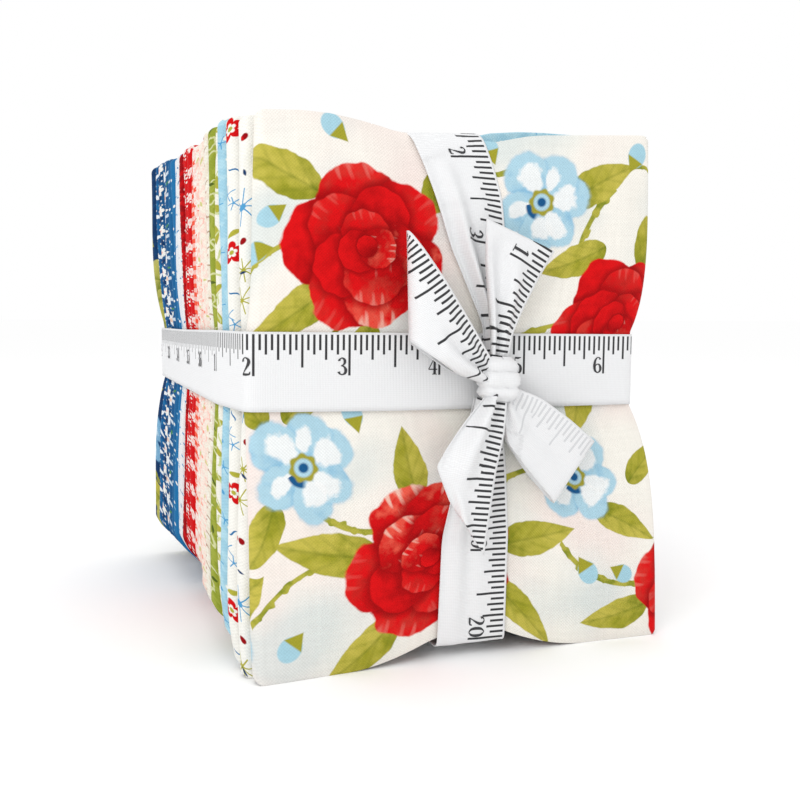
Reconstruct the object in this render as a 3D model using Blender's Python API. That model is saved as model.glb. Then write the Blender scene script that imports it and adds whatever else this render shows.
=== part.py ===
"""Fat quarter bundle: twenty-four folded pieces of quilting cotton, tied both ways with a ribbon and a bow.

The bundle stands on its lower edges with its front piece towards -Y, +X to the right and +Z up.
Sizes are in millimetres, in a stack frame whose y runs back from the front face, and are
turned into metres, with the whole bundle centred over the origin, when a mesh is made.
"""
import math
from collections import namedtuple

import bmesh
import bpy
from mathutils import Vector

MM = 0.001

# ---- the stack ---------------------------------------------------------------------------------
WIDTH_TOP = 115.2           # a folded piece across its top edge: a quarter of 18 in, and its folds
WIDTH_FOOT = 121.2          # the same piece across its foot, where the bundle has settled
WIDTH_SPREAD = 0.9          # how unevenly the pieces were folded
PASSES = 4                  # folded in half twice
PLY_GAP = 0.25              # air between two passes of one piece
PIECE_GAP = 0.35            # air between two pieces
CENTRE_X = -1.36            # middle of the whole bundle in the stack frame
CENTRE_Y = 69.90

# ---- the ribbon --------------------------------------------------------------------------------
RIBBON_WIDTH = 20.2
RIBBON_THICK = 1.0
RIBBON_GAP = 0.35
ACROSS_LOW = 69.2           # lower edge of the band that goes round the sides
ACROSS_HIGH = ACROSS_LOW + RIBBON_WIDTH
UPRIGHT_TOP_X = -6.2        # middle of the upright band where it crosses the top edge
UPRIGHT_FOOT_X = 3.4        # middle of the upright band where it crosses the foot
UPRIGHT_TOP_Z = (142.0, 146.4)     # top edge under the band, at the front and at the back
UPRIGHT_FOOT_Z = 6.5        # foot edge under the band, which the pull of the band lifts
FOOT_BAND_Z = 4.2           # upper face of the band under the foot
PULL_REACH = 26.0           # how far beside the band its pull bends an edge
PULL_POWER = 1.8
CORNER_REACH = 26.0         # how far in from the left folds the lifted foot corner reaches

# ---- where a pass bends ------------------------------------------------------------------------
HEIGHTS = (None, 50.0, ACROSS_LOW - 0.2, ACROSS_HIGH + 0.6, None)
SIDE_PULL = (0.0, 0.33, 1.0, 1.0, 0.0)      # share of the side bands' pull at each height
NEAR_FOLD = 10.0            # first bend of the outer passes, measured from the left fold
OUTER_BENDS = (-38.0, -16.5, 4.2, 40.0)     # further bends of the two outer passes
INNER_BENDS = (-16.5, 4.2)  # bends of the two inner passes
INNER_TUCK = 1.0            # how far the inner passes stay inside the outer ones at top and foot

LEFT_LINE = ((0.0, -57.8), (22.0, -61.3), (150.2, -63.8))     # depth, x of the left side under the band
RIGHT_LINE = ((0.0, 52.8), (150.2, 46.5))                      # depth, x of the right side under the band

Piece = namedtuple("Piece", "thick left top_left top_right lift colour")

CREAM, WHITE, PALE_BLUE = (0.90, 0.88, 0.82), (0.90, 0.90, 0.90), (0.47, 0.69, 0.80)
LEAF, OLIVE, BLUSH, PINK = (0.62, 0.68, 0.36), (0.45, 0.50, 0.10), (0.90, 0.78, 0.72), (0.88, 0.56, 0.50)
CORAL, RED, DEEP_RED = (0.86, 0.26, 0.18), (0.78, 0.03, 0.03), (0.60, 0.01, 0.02)
BLUE, PETAL_BLUE, NAVY = (0.03, 0.22, 0.42), (0.04, 0.20, 0.40), (0.02, 0.09, 0.22)

# front to back: thickness, leftmost point, top edge at its left and right ends, lift of the left foot corner
PIECES = (
    Piece(5.4, -57.0, 144.6, 144.6, 0.0, CREAM),
    Piece(5.6, -57.4, 144.1, 144.8, 0.6, WHITE),
    Piece(5.8, -59.7, 144.8, 143.9, 4.0, WHITE),
    Piece(5.4, -61.2, 145.4, 148.4, 8.0, PALE_BLUE),
    Piece(5.0, -61.7, 144.8, 145.6, 10.0, LEAF),
    Piece(6.4, -62.2, 144.6, 144.2, 12.5, OLIVE),
    Piece(5.4, -62.7, 145.0, 144.4, 13.0, CREAM),
    Piece(5.4, -63.2, 143.6, 145.0, 14.5, CREAM),
    Piece(5.6, -63.2, 143.4, 144.2, 17.5, BLUSH),
    Piece(5.8, -63.3, 143.8, 145.4, 19.5, PINK),
    Piece(5.8, -63.2, 144.6, 144.0, 20.0, BLUSH),
    Piece(7.2, -63.4, 145.6, 146.0, 20.5, CORAL),
    Piece(7.4, -63.8, 146.4, 145.2, 20.0, RED),
    Piece(7.2, -64.0, 146.8, 147.0, 19.0, RED),
    Piece(5.0, -64.0, 146.6, 146.0, 18.6, DEEP_RED),
    Piece(5.2, -64.2, 146.8, 147.6, 18.4, WHITE),
    Piece(5.2, -64.2, 146.4, 146.8, 18.0, WHITE),
    Piece(8.0, -64.5, 146.8, 148.0, 17.0, BLUE),
    Piece(8.0, -64.8, 148.0, 147.2, 16.0, BLUE),
    Piece(7.6, -65.2, 148.8, 148.6, 15.2, PETAL_BLUE),
    Piece(7.6, -65.6, 149.4, 148.4, 15.0, PETAL_BLUE),
    Piece(6.4, -66.2, 149.8, 149.6, 15.0, BLUE),
    Piece(6.4, -66.6, 150.0, 149.0, 15.5, BLUE),
    Piece(7.4, -67.2, 149.6, 149.8, 16.5, NAVY),
)
DEPTH = sum(piece.thick for piece in PIECES)

# ---- the bow -----------------------------------------------------------------------------------
KNOT_CENTRE = (7.2, -6.2, 77.9)
KNOT_RADII = (6.2, 4.5, 6.7)
KNOT_ROUNDS = 8             # rings from the back pole to the front pole
KNOT_SIDES = 14
KNOT_CREASE = 0.07          # depth of the folds in the knot, as a share of its radius

# A strip of the bow: y of its middle, then x and z of its two edges, and how far its middle stands forward.
Station = namedtuple("Station", "depth ax az bx bz crown")

LOOP_UPPER = (
    Station(-8.4, -0.3, 75.6, 3.6, 85.4, 0.0),
    Station(-10.4, -5.2, 79.2, -1.6, 92.2, 0.9),
    Station(-11.6, -11.2, 83.0, -9.4, 103.4, 1.0),
    Station(-10.9, -15.8, 86.0, -15.6, 112.0, 0.5),
    Station(-9.2, -17.4, 87.4, -18.2, 115.6, 0.0),
    Station(-7.0, -17.6, 87.6, -18.5, 116.0, 0.0),
    Station(-5.0, -16.4, 87.0, -17.0, 114.4, 0.0),
    Station(-3.9, -11.0, 83.6, -10.6, 105.0, 0.0),
    Station(-3.8, -4.6, 79.6, -2.6, 92.6, 0.0),
    Station(-4.0, -0.2, 76.4, 3.0, 85.0, 0.0),
)
LOOP_LOWER = (
    Station(-6.8, 14.3, 75.4, 10.9, 69.6, 0.0),
    Station(-7.2, 20.6, 72.2, 10.6, 60.6, 0.7),
    Station(-8.0, 28.8, 66.4, 17.0, 52.4, 1.0),
    Station(-7.8, 35.6, 61.0, 23.2, 45.4, 0.6),
    Station(-6.9, 37.6, 59.6, 25.4, 43.0, 0.0),
    Station(-5.4, 38.0, 59.4, 25.7, 42.6, 0.0),
    Station(-4.1, 36.6, 60.4, 24.4, 44.2, 0.0),
    Station(-3.7, 29.0, 66.0, 17.4, 52.2, 0.0),
    Station(-3.7, 20.4, 71.6, 11.4, 60.8, 0.0),
    Station(-3.9, 14.2, 74.6, 11.2, 69.6, 0.0),
)
TAIL_UPPER = (
    Station(-6.4, 4.9, 85.6, 10.6, 84.9, 0.0),
    Station(-6.6, 5.6, 88.6, 11.8, 89.2, 0.5),
    Station(-6.0, 4.9, 98.0, 15.2, 96.2, 0.9),
    Station(-5.6, 4.2, 109.4, 19.8, 104.2, 0.7),
    Station(-7.2, 3.7, 119.6, 23.7, 111.6, 0.2),
)
TAIL_LOWER = (
    Station(-7.6, 3.4, 70.5, 9.0, 69.9, 0.0),
    Station(-9.4, 0.2, 66.6, 9.0, 63.6, 0.6),
    Station(-10.2, -5.4, 60.6, 8.0, 53.8, 0.9),
    Station(-9.8, -10.2, 55.3, 6.4, 42.0, 0.6),
    Station(-9.2, -6.8, 46.1, 4.3, 30.9, 0.2),
)


def clear_scene():
    for obj in list(bpy.data.objects):
        bpy.data.objects.remove(obj, do_unlink=True)


def material(name, colour, roughness=0.85):
    made = bpy.data.materials.new(name)
    made.use_nodes = True
    shader = made.node_tree.nodes["Principled BSDF"]
    shader.inputs["Base Color"].default_value = (*colour, 1.0)
    shader.inputs["Roughness"].default_value = roughness
    shader.inputs["Metallic"].default_value = 0.0
    return made


def along(line, at):
    """Read a table of (position, value) rows at one position."""
    if at <= line[0][0]:
        return line[0][1]
    for (x0, y0), (x1, y1) in zip(line, line[1:]):
        if at <= x1:
            return y0 + (y1 - y0) * (at - x0) / (x1 - x0)
    return line[-1][1]


def closed_object(name, points, faces, finish, smooth_angle):
    """Make one closed mesh from stack-frame points and give it its material."""
    mesh = bpy.data.meshes.new(name)
    placed = [((x - CENTRE_X) * MM, (y - CENTRE_Y) * MM, z * MM) for x, y, z in points]
    mesh.from_pydata(placed, [], faces)
    work = bmesh.new()
    work.from_mesh(mesh)
    bmesh.ops.recalc_face_normals(work, faces=work.faces)
    if work.calc_volume(signed=True) < 0.0:
        bmesh.ops.reverse_faces(work, faces=work.faces)
    work.to_mesh(mesh)
    work.free()
    mesh.shade_smooth()
    mesh.set_sharp_from_angle(angle=math.radians(smooth_angle))
    mesh.materials.append(finish)
    obj = bpy.data.objects.new(name, mesh)
    bpy.context.scene.collection.objects.link(obj)
    return obj


# ---- shape of the whole stack ------------------------------------------------------------------
def band_pull(x, middle):
    """Share of the upright band's pull on an edge at x: all of it under the band, fading beside it."""
    beside = abs(x - middle) - RIBBON_WIDTH / 2
    if beside <= 0.0:
        return 1.0
    return max(0.0, 1.0 - beside / PULL_REACH) ** PULL_POWER


def top_edge(piece, depth, x, right):
    """Height of a piece's top edge at x."""
    share = (x - piece.left) / (right - piece.left)
    free = piece.top_left + (piece.top_right - piece.top_left) * share
    held = along(((0.0, UPRIGHT_TOP_Z[0]), (DEPTH, UPRIGHT_TOP_Z[1])), depth)
    return free - max(0.0, free - held) * band_pull(x, UPRIGHT_TOP_X)


def foot_edge(piece, x):
    """Height of a piece's foot at x: flat on the surface, lifted by the band and at its left corner."""
    corner = max(0.0, 1.0 - (x - piece.left) / CORNER_REACH)
    return UPRIGHT_FOOT_Z * band_pull(x, UPRIGHT_FOOT_X) + piece.lift * corner ** 2


def side_edges(piece, depth, index, height, pull):
    """The x of a piece's left and right sides at one height."""
    width = WIDTH_FOOT + (WIDTH_TOP - WIDTH_FOOT) * height / piece.top_left
    width += WIDTH_SPREAD * math.sin(2.3 * index)
    right = piece.left + width
    left_held = max(piece.left, along(LEFT_LINE, depth))
    right_held = min(right, along(RIGHT_LINE, depth))
    return piece.left + (left_held - piece.left) * pull, right + (right_held - right) * pull


# ---- one folded piece --------------------------------------------------------------------------
# A bend of the folded path: the side its x is measured from ("left", "right" or "at" for the stack's
# middle), its depth, the direction of one face of the cloth, and how far its edges stay tucked in.
Bend = namedtuple("Bend", "side x y out_x out_y tuck")


def section_middle(piece):
    """The middle of the cloth from open end to open end, and how thick one pass is."""
    ply = (piece.thick - PIECE_GAP - (PASSES - 1) * PLY_GAP) / PASSES
    pitch = ply + PLY_GAP
    depths = [PIECE_GAP / 2 + ply / 2 + pitch * i for i in range(PASSES)]
    middle = (depths[0] + depths[-1]) / 2
    outer, inner = 1.5 * pitch, 0.5 * pitch
    hub = outer + ply / 2
    rim = inner + ply / 2

    def run(depth, tuck, forward, sense):
        stops = [("left", hub)]
        stops += [] if tuck else [("left", NEAR_FOLD)]
        stops += [("at", x) for x in (INNER_BENDS if tuck else OUTER_BENDS)]
        stops += [("right", -rim)]
        stops = stops if forward else stops[::-1]
        return [Bend(side, x, depth, 0.0, sense, tuck) for side, x in stops]

    def turn(side, centre, middle_depth, radius, steps, start, end, tuck, sense):
        bends = []
        for step in range(1, steps):
            angle = start + (end - start) * step / steps
            out_x, out_y = math.cos(angle), math.sin(angle)
            bends.append(Bend(side, centre + radius * out_x, middle_depth + radius * out_y,
                              sense * out_x, sense * out_y, tuck))
        return bends

    quarter = math.pi / 2
    bends = run(depths[2], INNER_TUCK, False, 1.0)
    bends += turn("left", hub, middle, inner, 2, quarter, 3 * quarter, INNER_TUCK, 1.0)
    bends += run(depths[1], INNER_TUCK, True, -1.0)
    bends += turn("right", -rim, (depths[0] + depths[1]) / 2, inner, 2, quarter, -quarter, 0.0, -1.0)
    bends += run(depths[0], 0.0, False, 1.0)
    bends += turn("left", hub, middle, outer, 4, 3 * quarter, quarter, 0.0, -1.0)
    bends += run(depths[3], 0.0, True, -1.0)
    return bends, ply


def fat_quarter(index, piece, front):
    """One piece of cloth, folded to four passes: its section carried up through the heights."""
    bends, ply = section_middle(piece)
    depth = front + piece.thick / 2
    half_ply = ply / 2
    outline = [(b.side, b.x + b.out_x * half_ply, b.y + b.out_y * half_ply, b.tuck) for b in bends]
    outline += [(b.side, b.x - b.out_x * half_ply, b.y - b.out_y * half_ply, b.tuck) for b in bends[::-1]]
    points, faces = [], []
    last = len(HEIGHTS) - 1
    for level, height in enumerate(HEIGHTS):
        nominal = height if height is not None else (0.0 if level == 0 else piece.top_left)
        left, right = side_edges(piece, depth, index, nominal, SIDE_PULL[level])
        for side, x, y, tuck in outline:
            x = x + {"left": left, "right": right, "at": 0.0}[side]
            z = height
            if level == 0:
                z = foot_edge(piece, x) + tuck
            elif level == last:
                z = top_edge(piece, depth, x, right) - tuck
            points.append((x, front + y, z))
    count = len(outline)
    half = count // 2
    for level in range(last):
        base = level * count
        for i in range(count):
            j = (i + 1) % count
            faces.append((base + i, base + j, base + count + j, base + count + i))
    for base in (0, last * count):
        for i in range(half - 1):
            faces.append((base + i, base + i + 1, base + count - 2 - i, base + count - 1 - i))
    name = f"fat_quarter_{index + 1:02d}"
    finish = material(f"cotton_{index + 1:02d}", piece.colour)
    return closed_object(name, points, faces, finish, 40.0)


def stack():
    front = 0.0
    for index, piece in enumerate(PIECES):
        fat_quarter(index, piece, front)
        front += piece.thick


# ---- ribbon strips -----------------------------------------------------------------------------
def strip(name, grid, finish, closed=False):
    """A ribbon of even thickness about a grid of points: rows along it, each with points across it."""
    count, wide = len(grid), len(grid[0])
    sheets = [[], []]
    for i in range(count):
        for j in range(wide):
            before = grid[i - 1][j] if closed or i else grid[i][j]
            after = grid[(i + 1) % count][j] if closed or i < count - 1 else grid[i][j]
            across = grid[i][min(j + 1, wide - 1)] - grid[i][max(j - 1, 0)]
            normal = (after - before).cross(across).normalized()
            sheets[0].append(grid[i][j] + normal * RIBBON_THICK / 2)
            sheets[1].append(grid[i][j] - normal * RIBBON_THICK / 2)
    under = count * wide
    faces = []
    for i in range(count if closed else count - 1):
        a, b = i * wide, ((i + 1) % count) * wide
        for j in range(wide - 1):
            faces.append((a + j, a + j + 1, b + j + 1, b + j))
            faces.append((under + a + j, under + b + j, under + b + j + 1, under + a + j + 1))
        for j in (0, wide - 1):
            faces.append((a + j, b + j, under + b + j, under + a + j))
    if not closed:
        for a in (0, (count - 1) * wide):
            for j in range(wide - 1):
                faces.append((a + j, a + j + 1, under + a + j + 1, under + a + j))
    points = [tuple(p) for p in sheets[0] + sheets[1]]
    return closed_object(name, points, faces, finish, 50.0)


def band_across(finish):
    """The band round the front, the right side, the back and the left side, each corner in two bends."""
    reach = RIBBON_GAP + RIBBON_THICK / 2
    turn = reach * math.sqrt(0.5)
    corner = 2.6
    left_front, left_mid, left_back = LEFT_LINE
    right_front, right_back = RIGHT_LINE
    path = [
        (left_front[1] + corner, -reach), (right_front[1], -reach),
        (right_front[1] + turn, -turn), (right_front[1] + reach, corner),
        (right_back[1] + reach, DEPTH), (right_back[1] + turn, DEPTH + turn),
        (right_back[1] - corner, DEPTH + reach), (left_back[1] + corner, DEPTH + reach),
        (left_back[1] - turn, DEPTH + turn), (left_back[1] - reach, DEPTH - corner),
        (left_mid[1] - reach, left_mid[0]), (left_front[1] - reach, corner), (left_front[1] - turn, -turn),
    ]
    grid = [[Vector((x, y, ACROSS_LOW)), Vector((x, y, ACROSS_HIGH))] for x, y in path]
    return strip("ribbon_band_across", grid, finish, closed=True)


def band_upright(finish):
    """The band from the knot up over the top, down the back, under the foot and up to the knot again."""
    skin = RIBBON_GAP + RIBBON_THICK / 2
    over = skin + RIBBON_THICK + RIBBON_GAP
    turn = skin * math.sqrt(0.5)
    top_front, top_back = UPRIGHT_TOP_Z
    foot = FOOT_BAND_Z - RIBBON_THICK / 2
    foot_front = UPRIGHT_FOOT_Z
    clear = 2.4
    x_top, x_foot, x_back = UPRIGHT_TOP_X, UPRIGHT_FOOT_X, UPRIGHT_TOP_X - 1.8
    full = RIBBON_WIDTH
    # y, z, x of the middle, width: a row for each bend
    path = [
        (-over, 84.9, 6.9, 10.0),
        (-over, ACROSS_HIGH + clear, 6.3, 11.5),
        (-skin, ACROSS_HIGH + 2.5 * clear, 5.6, 13.0),
        (-skin, 119.0, 1.6, 18.6),
        (-skin, top_front, x_top + 0.3, full),
        (-turn, top_front + turn, x_top, full),
        (0.0, top_front + skin, x_top, full),
        (DEPTH, top_back + skin, x_back, full),
        (DEPTH + turn, top_back + turn, x_back, full),
        (DEPTH + skin, top_back, x_back, full),
        (DEPTH + skin, ACROSS_HIGH + 2.5 * clear, -3.6, full),
        (DEPTH + over, ACROSS_HIGH + clear, -3.2, full),
        (DEPTH + over, ACROSS_LOW - clear, -1.8, full),
        (DEPTH + skin, ACROSS_LOW - 2.5 * clear, -1.4, full),
        (DEPTH + skin, foot_front, x_foot - 0.4, full),
        (DEPTH + turn, foot + 0.6, x_foot, full),
        (DEPTH - 1.0, foot, x_foot, full),
        (1.0, foot, x_foot, full),
        (-turn, foot + 0.6, x_foot, full),
        (-skin, foot_front, x_foot + 0.1, full),
        (-skin, 34.0, x_foot + 1.0, full),
        (-skin, ACROSS_LOW - 2.5 * clear, 6.0, 12.5),
        (-over, ACROSS_LOW - clear, 6.3, 11.0),
        (-over, 71.0, 6.6, 10.0),
    ]
    grid = [[Vector((x - w / 2, y, z)), Vector((x + w / 2, y, z))] for y, z, x, w in path]
    return strip("ribbon_band_upright", grid, finish)


def bow_strip(name, stations, finish):
    """A loop or a tail of the bow: its two edges and its middle at each station."""
    grid = []
    for s in stations:
        a, b = Vector((s.ax, s.depth, s.az)), Vector((s.bx, s.depth, s.bz))
        middle = (a + b) / 2 - Vector((0.0, s.crown, 0.0))
        grid.append([a, middle, b])
    return strip(name, grid, finish)


def bow_knot(finish):
    """The knot: a squarish pad with soft folds that run round it from front to back."""
    cx, cy, cz = KNOT_CENTRE
    rx, ry, rz = KNOT_RADII
    points = [(cx, cy + ry, cz)]
    for ring in range(1, KNOT_ROUNDS):
        polar = math.pi * ring / KNOT_ROUNDS
        spread = math.sin(polar) ** 0.7
        for side in range(KNOT_SIDES):
            turn = 2 * math.pi * side / KNOT_SIDES
            crease = 1.0 + KNOT_CREASE * math.cos(3 * turn + 0.6) - KNOT_CREASE
            points.append((cx + rx * spread * crease * math.cos(turn),
                           cy + ry * math.cos(polar),
                           cz + rz * spread * crease * math.sin(turn)))
    points.append((cx, cy - ry, cz))
    end = len(points) - 1
    faces = []
    for side in range(KNOT_SIDES):
        after = (side + 1) % KNOT_SIDES
        faces.append((0, 1 + side, 1 + after))
        for ring in range(KNOT_ROUNDS - 2):
            a, b = 1 + ring * KNOT_SIDES, 1 + (ring + 1) * KNOT_SIDES
            faces.append((a + side, b + side, b + after, a + after))
        base = 1 + (KNOT_ROUNDS - 2) * KNOT_SIDES
        faces.append((end, base + after, base + side))
    return closed_object("bow_knot", points, faces, finish, 60.0)


def ribbon():
    finish = material("ribbon_white", (0.86, 0.87, 0.88), 0.6)
    band_across(finish)
    band_upright(finish)
    bow_knot(finish)
    bow_strip("bow_loop_upper", LOOP_UPPER, finish)
    bow_strip("bow_loop_lower", LOOP_LOWER, finish)
    bow_strip("bow_tail_upper", TAIL_UPPER, finish)
    bow_strip("bow_tail_lower", TAIL_LOWER, finish)


clear_scene()
stack()
ribbon()
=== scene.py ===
"""Fat quarter bundle: the looks of its folded cloth and of its ribbon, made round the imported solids.

Lengths are millimetres in the stack frame, whose x runs to the right, y back from the front face
and z up. They become metres, centred as the solids are, when a mesh is made.
"""
import math
from collections import namedtuple

import bpy
import numpy as np
from mathutils import Matrix, Vector


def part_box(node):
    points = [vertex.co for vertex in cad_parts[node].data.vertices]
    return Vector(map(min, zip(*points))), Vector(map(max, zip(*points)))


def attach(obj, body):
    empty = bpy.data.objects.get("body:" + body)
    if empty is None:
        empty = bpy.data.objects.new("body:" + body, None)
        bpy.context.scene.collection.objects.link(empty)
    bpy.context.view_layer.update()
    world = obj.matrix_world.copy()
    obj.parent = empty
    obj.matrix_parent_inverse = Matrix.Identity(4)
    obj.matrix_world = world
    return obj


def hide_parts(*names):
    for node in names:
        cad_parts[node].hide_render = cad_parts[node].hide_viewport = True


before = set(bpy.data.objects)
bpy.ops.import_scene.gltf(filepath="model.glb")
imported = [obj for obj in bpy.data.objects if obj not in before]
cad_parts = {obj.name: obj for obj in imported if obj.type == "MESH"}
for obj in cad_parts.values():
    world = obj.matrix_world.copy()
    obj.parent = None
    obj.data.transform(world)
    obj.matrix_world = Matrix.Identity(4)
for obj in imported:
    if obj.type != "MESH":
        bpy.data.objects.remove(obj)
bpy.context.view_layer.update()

MM = 0.001
CENTRE = np.array((-1.36, 69.90, 0.0))      # middle of the bundle in the stack frame
TAU = 2.0 * math.pi

# ---- camera
CAMERA_AT = (-102.79, -244.07, 94.67)
CAMERA_NEAR = 0.01          # metres
CAMERA_YAW = 19.28          # degrees from straight back towards +X
CAMERA_PITCH = -5.0
CAMERA_ROLL = 0.24
FOCAL_PIXELS = 983.0        # of a picture 800 wide
PICTURE_PIXELS = 800.0
SENSOR = 36.0               # millimetres
FLOOR_HALF = 14.0           # metres

# ---- the stack
WIDTH_TOP = 115.2
WIDTH_FOOT = 121.2
WIDTH_SPREAD = 0.9          # how much wider or narrower one piece is than another
PASSES = 4                  # folded in half twice across
PLIES = 4                   # and, before that, twice along
PIECE_GAP = 0.35
CLOTH_THICK = 0.28
INNER_TUCK = 0.9            # how far the inner folds stay short of the top and the foot
SIDE_CORNER = 2.4           # radii of a piece's rounded corners
FOOT_CORNER = 2.8
LEAN = 0.9                  # how far a piece's left side leans out at the top
LEAN_LEVEL = 60.0
LEAN_HEIGHT = 90.0
FACE_HALF = 57.0            # half the front's width
FACE_HEIGHT = 144.0
PUFF = 1.9                  # how far the front and the back swell between the bands
PUFF_FROM = 10.0            # from the middle of the upright band
PUFF_FADE = 14.0
PUFF_RIM = (22.0, 20.0)     # over which it fades out, at the sides and at the top and foot
FRONT_DEPTH = 9.0           # how fast the front's creases fade into the stack
FLARE = 3.8                 # how far the front's lower left corner stands forward
FLARE_HEIGHT = 30.0
FLARE_WIDTH = 45.0
FLARE_DEPTH = 25.0
TOP_LEAN = 3.2              # how far back the front's top edge is rounded under the upright band
TOP_LEAN_FROM = 118.0
TOP_LEAN_HEIGHT = 24.0
FRONT_STEP = 1.1            # how much further left the front piece stands under the band than over it
FRONT_STEP_TOP = 95.0
FRONT_STEP_HEIGHT = 20.0

# ---- the ribbon
RIBBON_WIDTH = 20.2
RIBBON_SHEET = 0.3
ACROSS_LOW = 69.2
ACROSS_HIGH = ACROSS_LOW + RIBBON_WIDTH
UPRIGHT_TOP_X = -6.2
UPRIGHT_FOOT_X = 3.4
UPRIGHT_HEIGHT = 145.0
UPRIGHT_TOP_Z = (142.0, 146.4)   # of the cloth under it, at the front and at the back
UPRIGHT_FOOT_Z = 6.5
FOOT_BAND_Z = 4.2           # upper face of the band under the foot
PULL_REACH = 26.0           # how far beside it the upright band draws the edges in
PULL_POWER = 1.8
SIDE_REACH = 15.0           # how fast the side bands' pull fades above and below them
CORNER_REACH = 26.0         # how far along the foot a piece's left corner is lifted
# The cloth's sides under the band across: depths in the stack, and x at each
LEFT_LINE = ((0.0, 22.0, 150.2), (-57.8, -61.3, -63.2))
RIGHT_LINE = ((0.0, 150.2), (52.8, 46.5))
UV_LAYER = "cloth"          # a mesh's place on its flat sheet, in millimetres

Piece = namedtuple("Piece", "node thick left top_left top_right lift reach print")
# top_left and top_right are the top edge's heights, lift is the left foot corner's height, and reach is how
# much further out than its solid the left fold stands away from the band.
ROWS = (
    (144.6, 144.6, 0.0, -0.4, "large_floral"),
    (144.1, 144.8, 0.0, 2.0, "stars"),
    (144.8, 143.9, 1.6, 1.7, "red_sprigs"),
    (145.4, 147.6, 8.0, 1.1, "pale_dots"),
    (144.8, 145.6, 10.0, 0.9, "green_leaves"),
    (144.6, 144.2, 12.5, 1.2, "olive"),
    (145.0, 144.4, 13.0, 1.0, "brown_lines"),
    (143.6, 145.0, 14.5, 0.9, "cream_buds"),
    (143.4, 144.2, 17.5, 0.6, "blush"),
    (143.8, 145.4, 19.5, 0.5, "pink"),
    (144.6, 144.0, 20.0, 0.3, "coral_buds"),
    (145.6, 146.0, 20.5, 0.0, "coral_check"),
    (146.4, 145.2, 20.0, 0.0, "red_flowers"),
    (146.8, 147.0, 19.0, 0.0, "red_flowers_close"),
    (146.6, 146.0, 18.6, 0.3, "deep_red"),
    (146.8, 147.6, 18.4, 0.6, "blue_flecks"),
    (146.4, 146.8, 18.0, 0.7, "blue_sprigs"),
    (146.8, 148.0, 17.0, 0.8, "blue_dots"),
    (148.0, 147.2, 16.0, 0.8, "blue_dots_wide"),
    (148.8, 148.6, 15.2, 0.5, "petals"),
    (149.4, 148.4, 15.0, 0.0, "petals_close"),
    (149.8, 149.6, 14.4, 0.0, "blue_ditsy"),
    (150.0, 149.0, 14.4, 0.4, "blue_ditsy_close"),
    (149.6, 149.8, 14.6, 1.0, "navy_leaves"),
)


def stack_pieces():
    """Each piece's thickness and left side from its solid's box, with its row of the table."""
    pieces = []
    for index, row in enumerate(ROWS):
        node = f"fat_quarter_{index + 1:02d}"
        low, high = (np.array(corner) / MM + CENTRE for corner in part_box(node))
        pieces.append(Piece(node, high[1] - low[1] + PIECE_GAP, low[0], *row))
    return pieces


PIECES = stack_pieces()
DEPTH = sum(piece.thick for piece in PIECES)


def linked(name, data):
    """A new object in the scene."""
    obj = bpy.data.objects.new(name, data)
    bpy.context.scene.collection.objects.link(obj)
    return obj


def dress(obj, node, slot):
    """Hide the solid that a piece stands for, and let the piece ride on the root; slot is not used."""
    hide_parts(node)
    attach(obj, "root")


def new_look(name, **finish):
    """A material with its shader's named values, an underscore standing for a space."""
    look = bpy.data.materials.new(name)
    look.use_nodes = True
    for slot, value in finish.items():
        look.node_tree.nodes["Principled BSDF"].inputs[slot.replace("_", " ")].default_value = value
    return look


# ======== Numbers and pictures in a material's nodes ========
class Num:
    """A number in a node tree, which ordinary arithmetic can be written with."""

    def __init__(self, tree, socket):
        self.tree, self.socket = tree, socket

    def node(self, operation, *others, clamp=False):
        made = self.tree.nodes.new("ShaderNodeMath")
        made.operation = operation
        made.use_clamp = clamp
        for slot, value in zip(made.inputs, (self, *others)):
            if isinstance(value, Num):
                self.tree.links.new(value.socket, slot)
            else:
                slot.default_value = value
        return Num(self.tree, made.outputs[0])

    def __radd__(self, other):
        return self.node("ADD", other)

    def __rmul__(self, other):
        return self.node("MULTIPLY", other)

    def __rsub__(self, other):
        return self.node("MULTIPLY_ADD", -1.0, other)

    def ramp(self, start, end):
        """0 at start, 1 at end, straight between them and level outside."""
        scale = 1.0 / (end - start)
        return self.node("MULTIPLY_ADD", scale, -start * scale, clamp=True)

    def within(self, limit, soft=0.12):
        """1 where the number is under the limit, with a narrow soft edge."""
        if isinstance(limit, Num):
            return (limit - self).ramp(0.0, 2.0 * soft)
        return self.ramp(limit + soft, limit - soft)


OPERATORS = {
    "__add__": "ADD", "__sub__": "SUBTRACT", "__mul__": "MULTIPLY", "__truediv__": "DIVIDE",
    "__pow__": "POWER", "__mod__": "FLOORED_MODULO", "sin": "SINE", "cos": "COSINE", "abs": "ABSOLUTE",
    "floor": "FLOOR", "fract": "FRACT", "round": "ROUND", "least": "MINIMUM", "most": "MAXIMUM",
    "angle_of": "ARCTAN2", "below": "LESS_THAN",
}
for method, operation in OPERATORS.items():
    setattr(Num, method, lambda self, *others, kind=operation: self.node(kind, *others))


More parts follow.
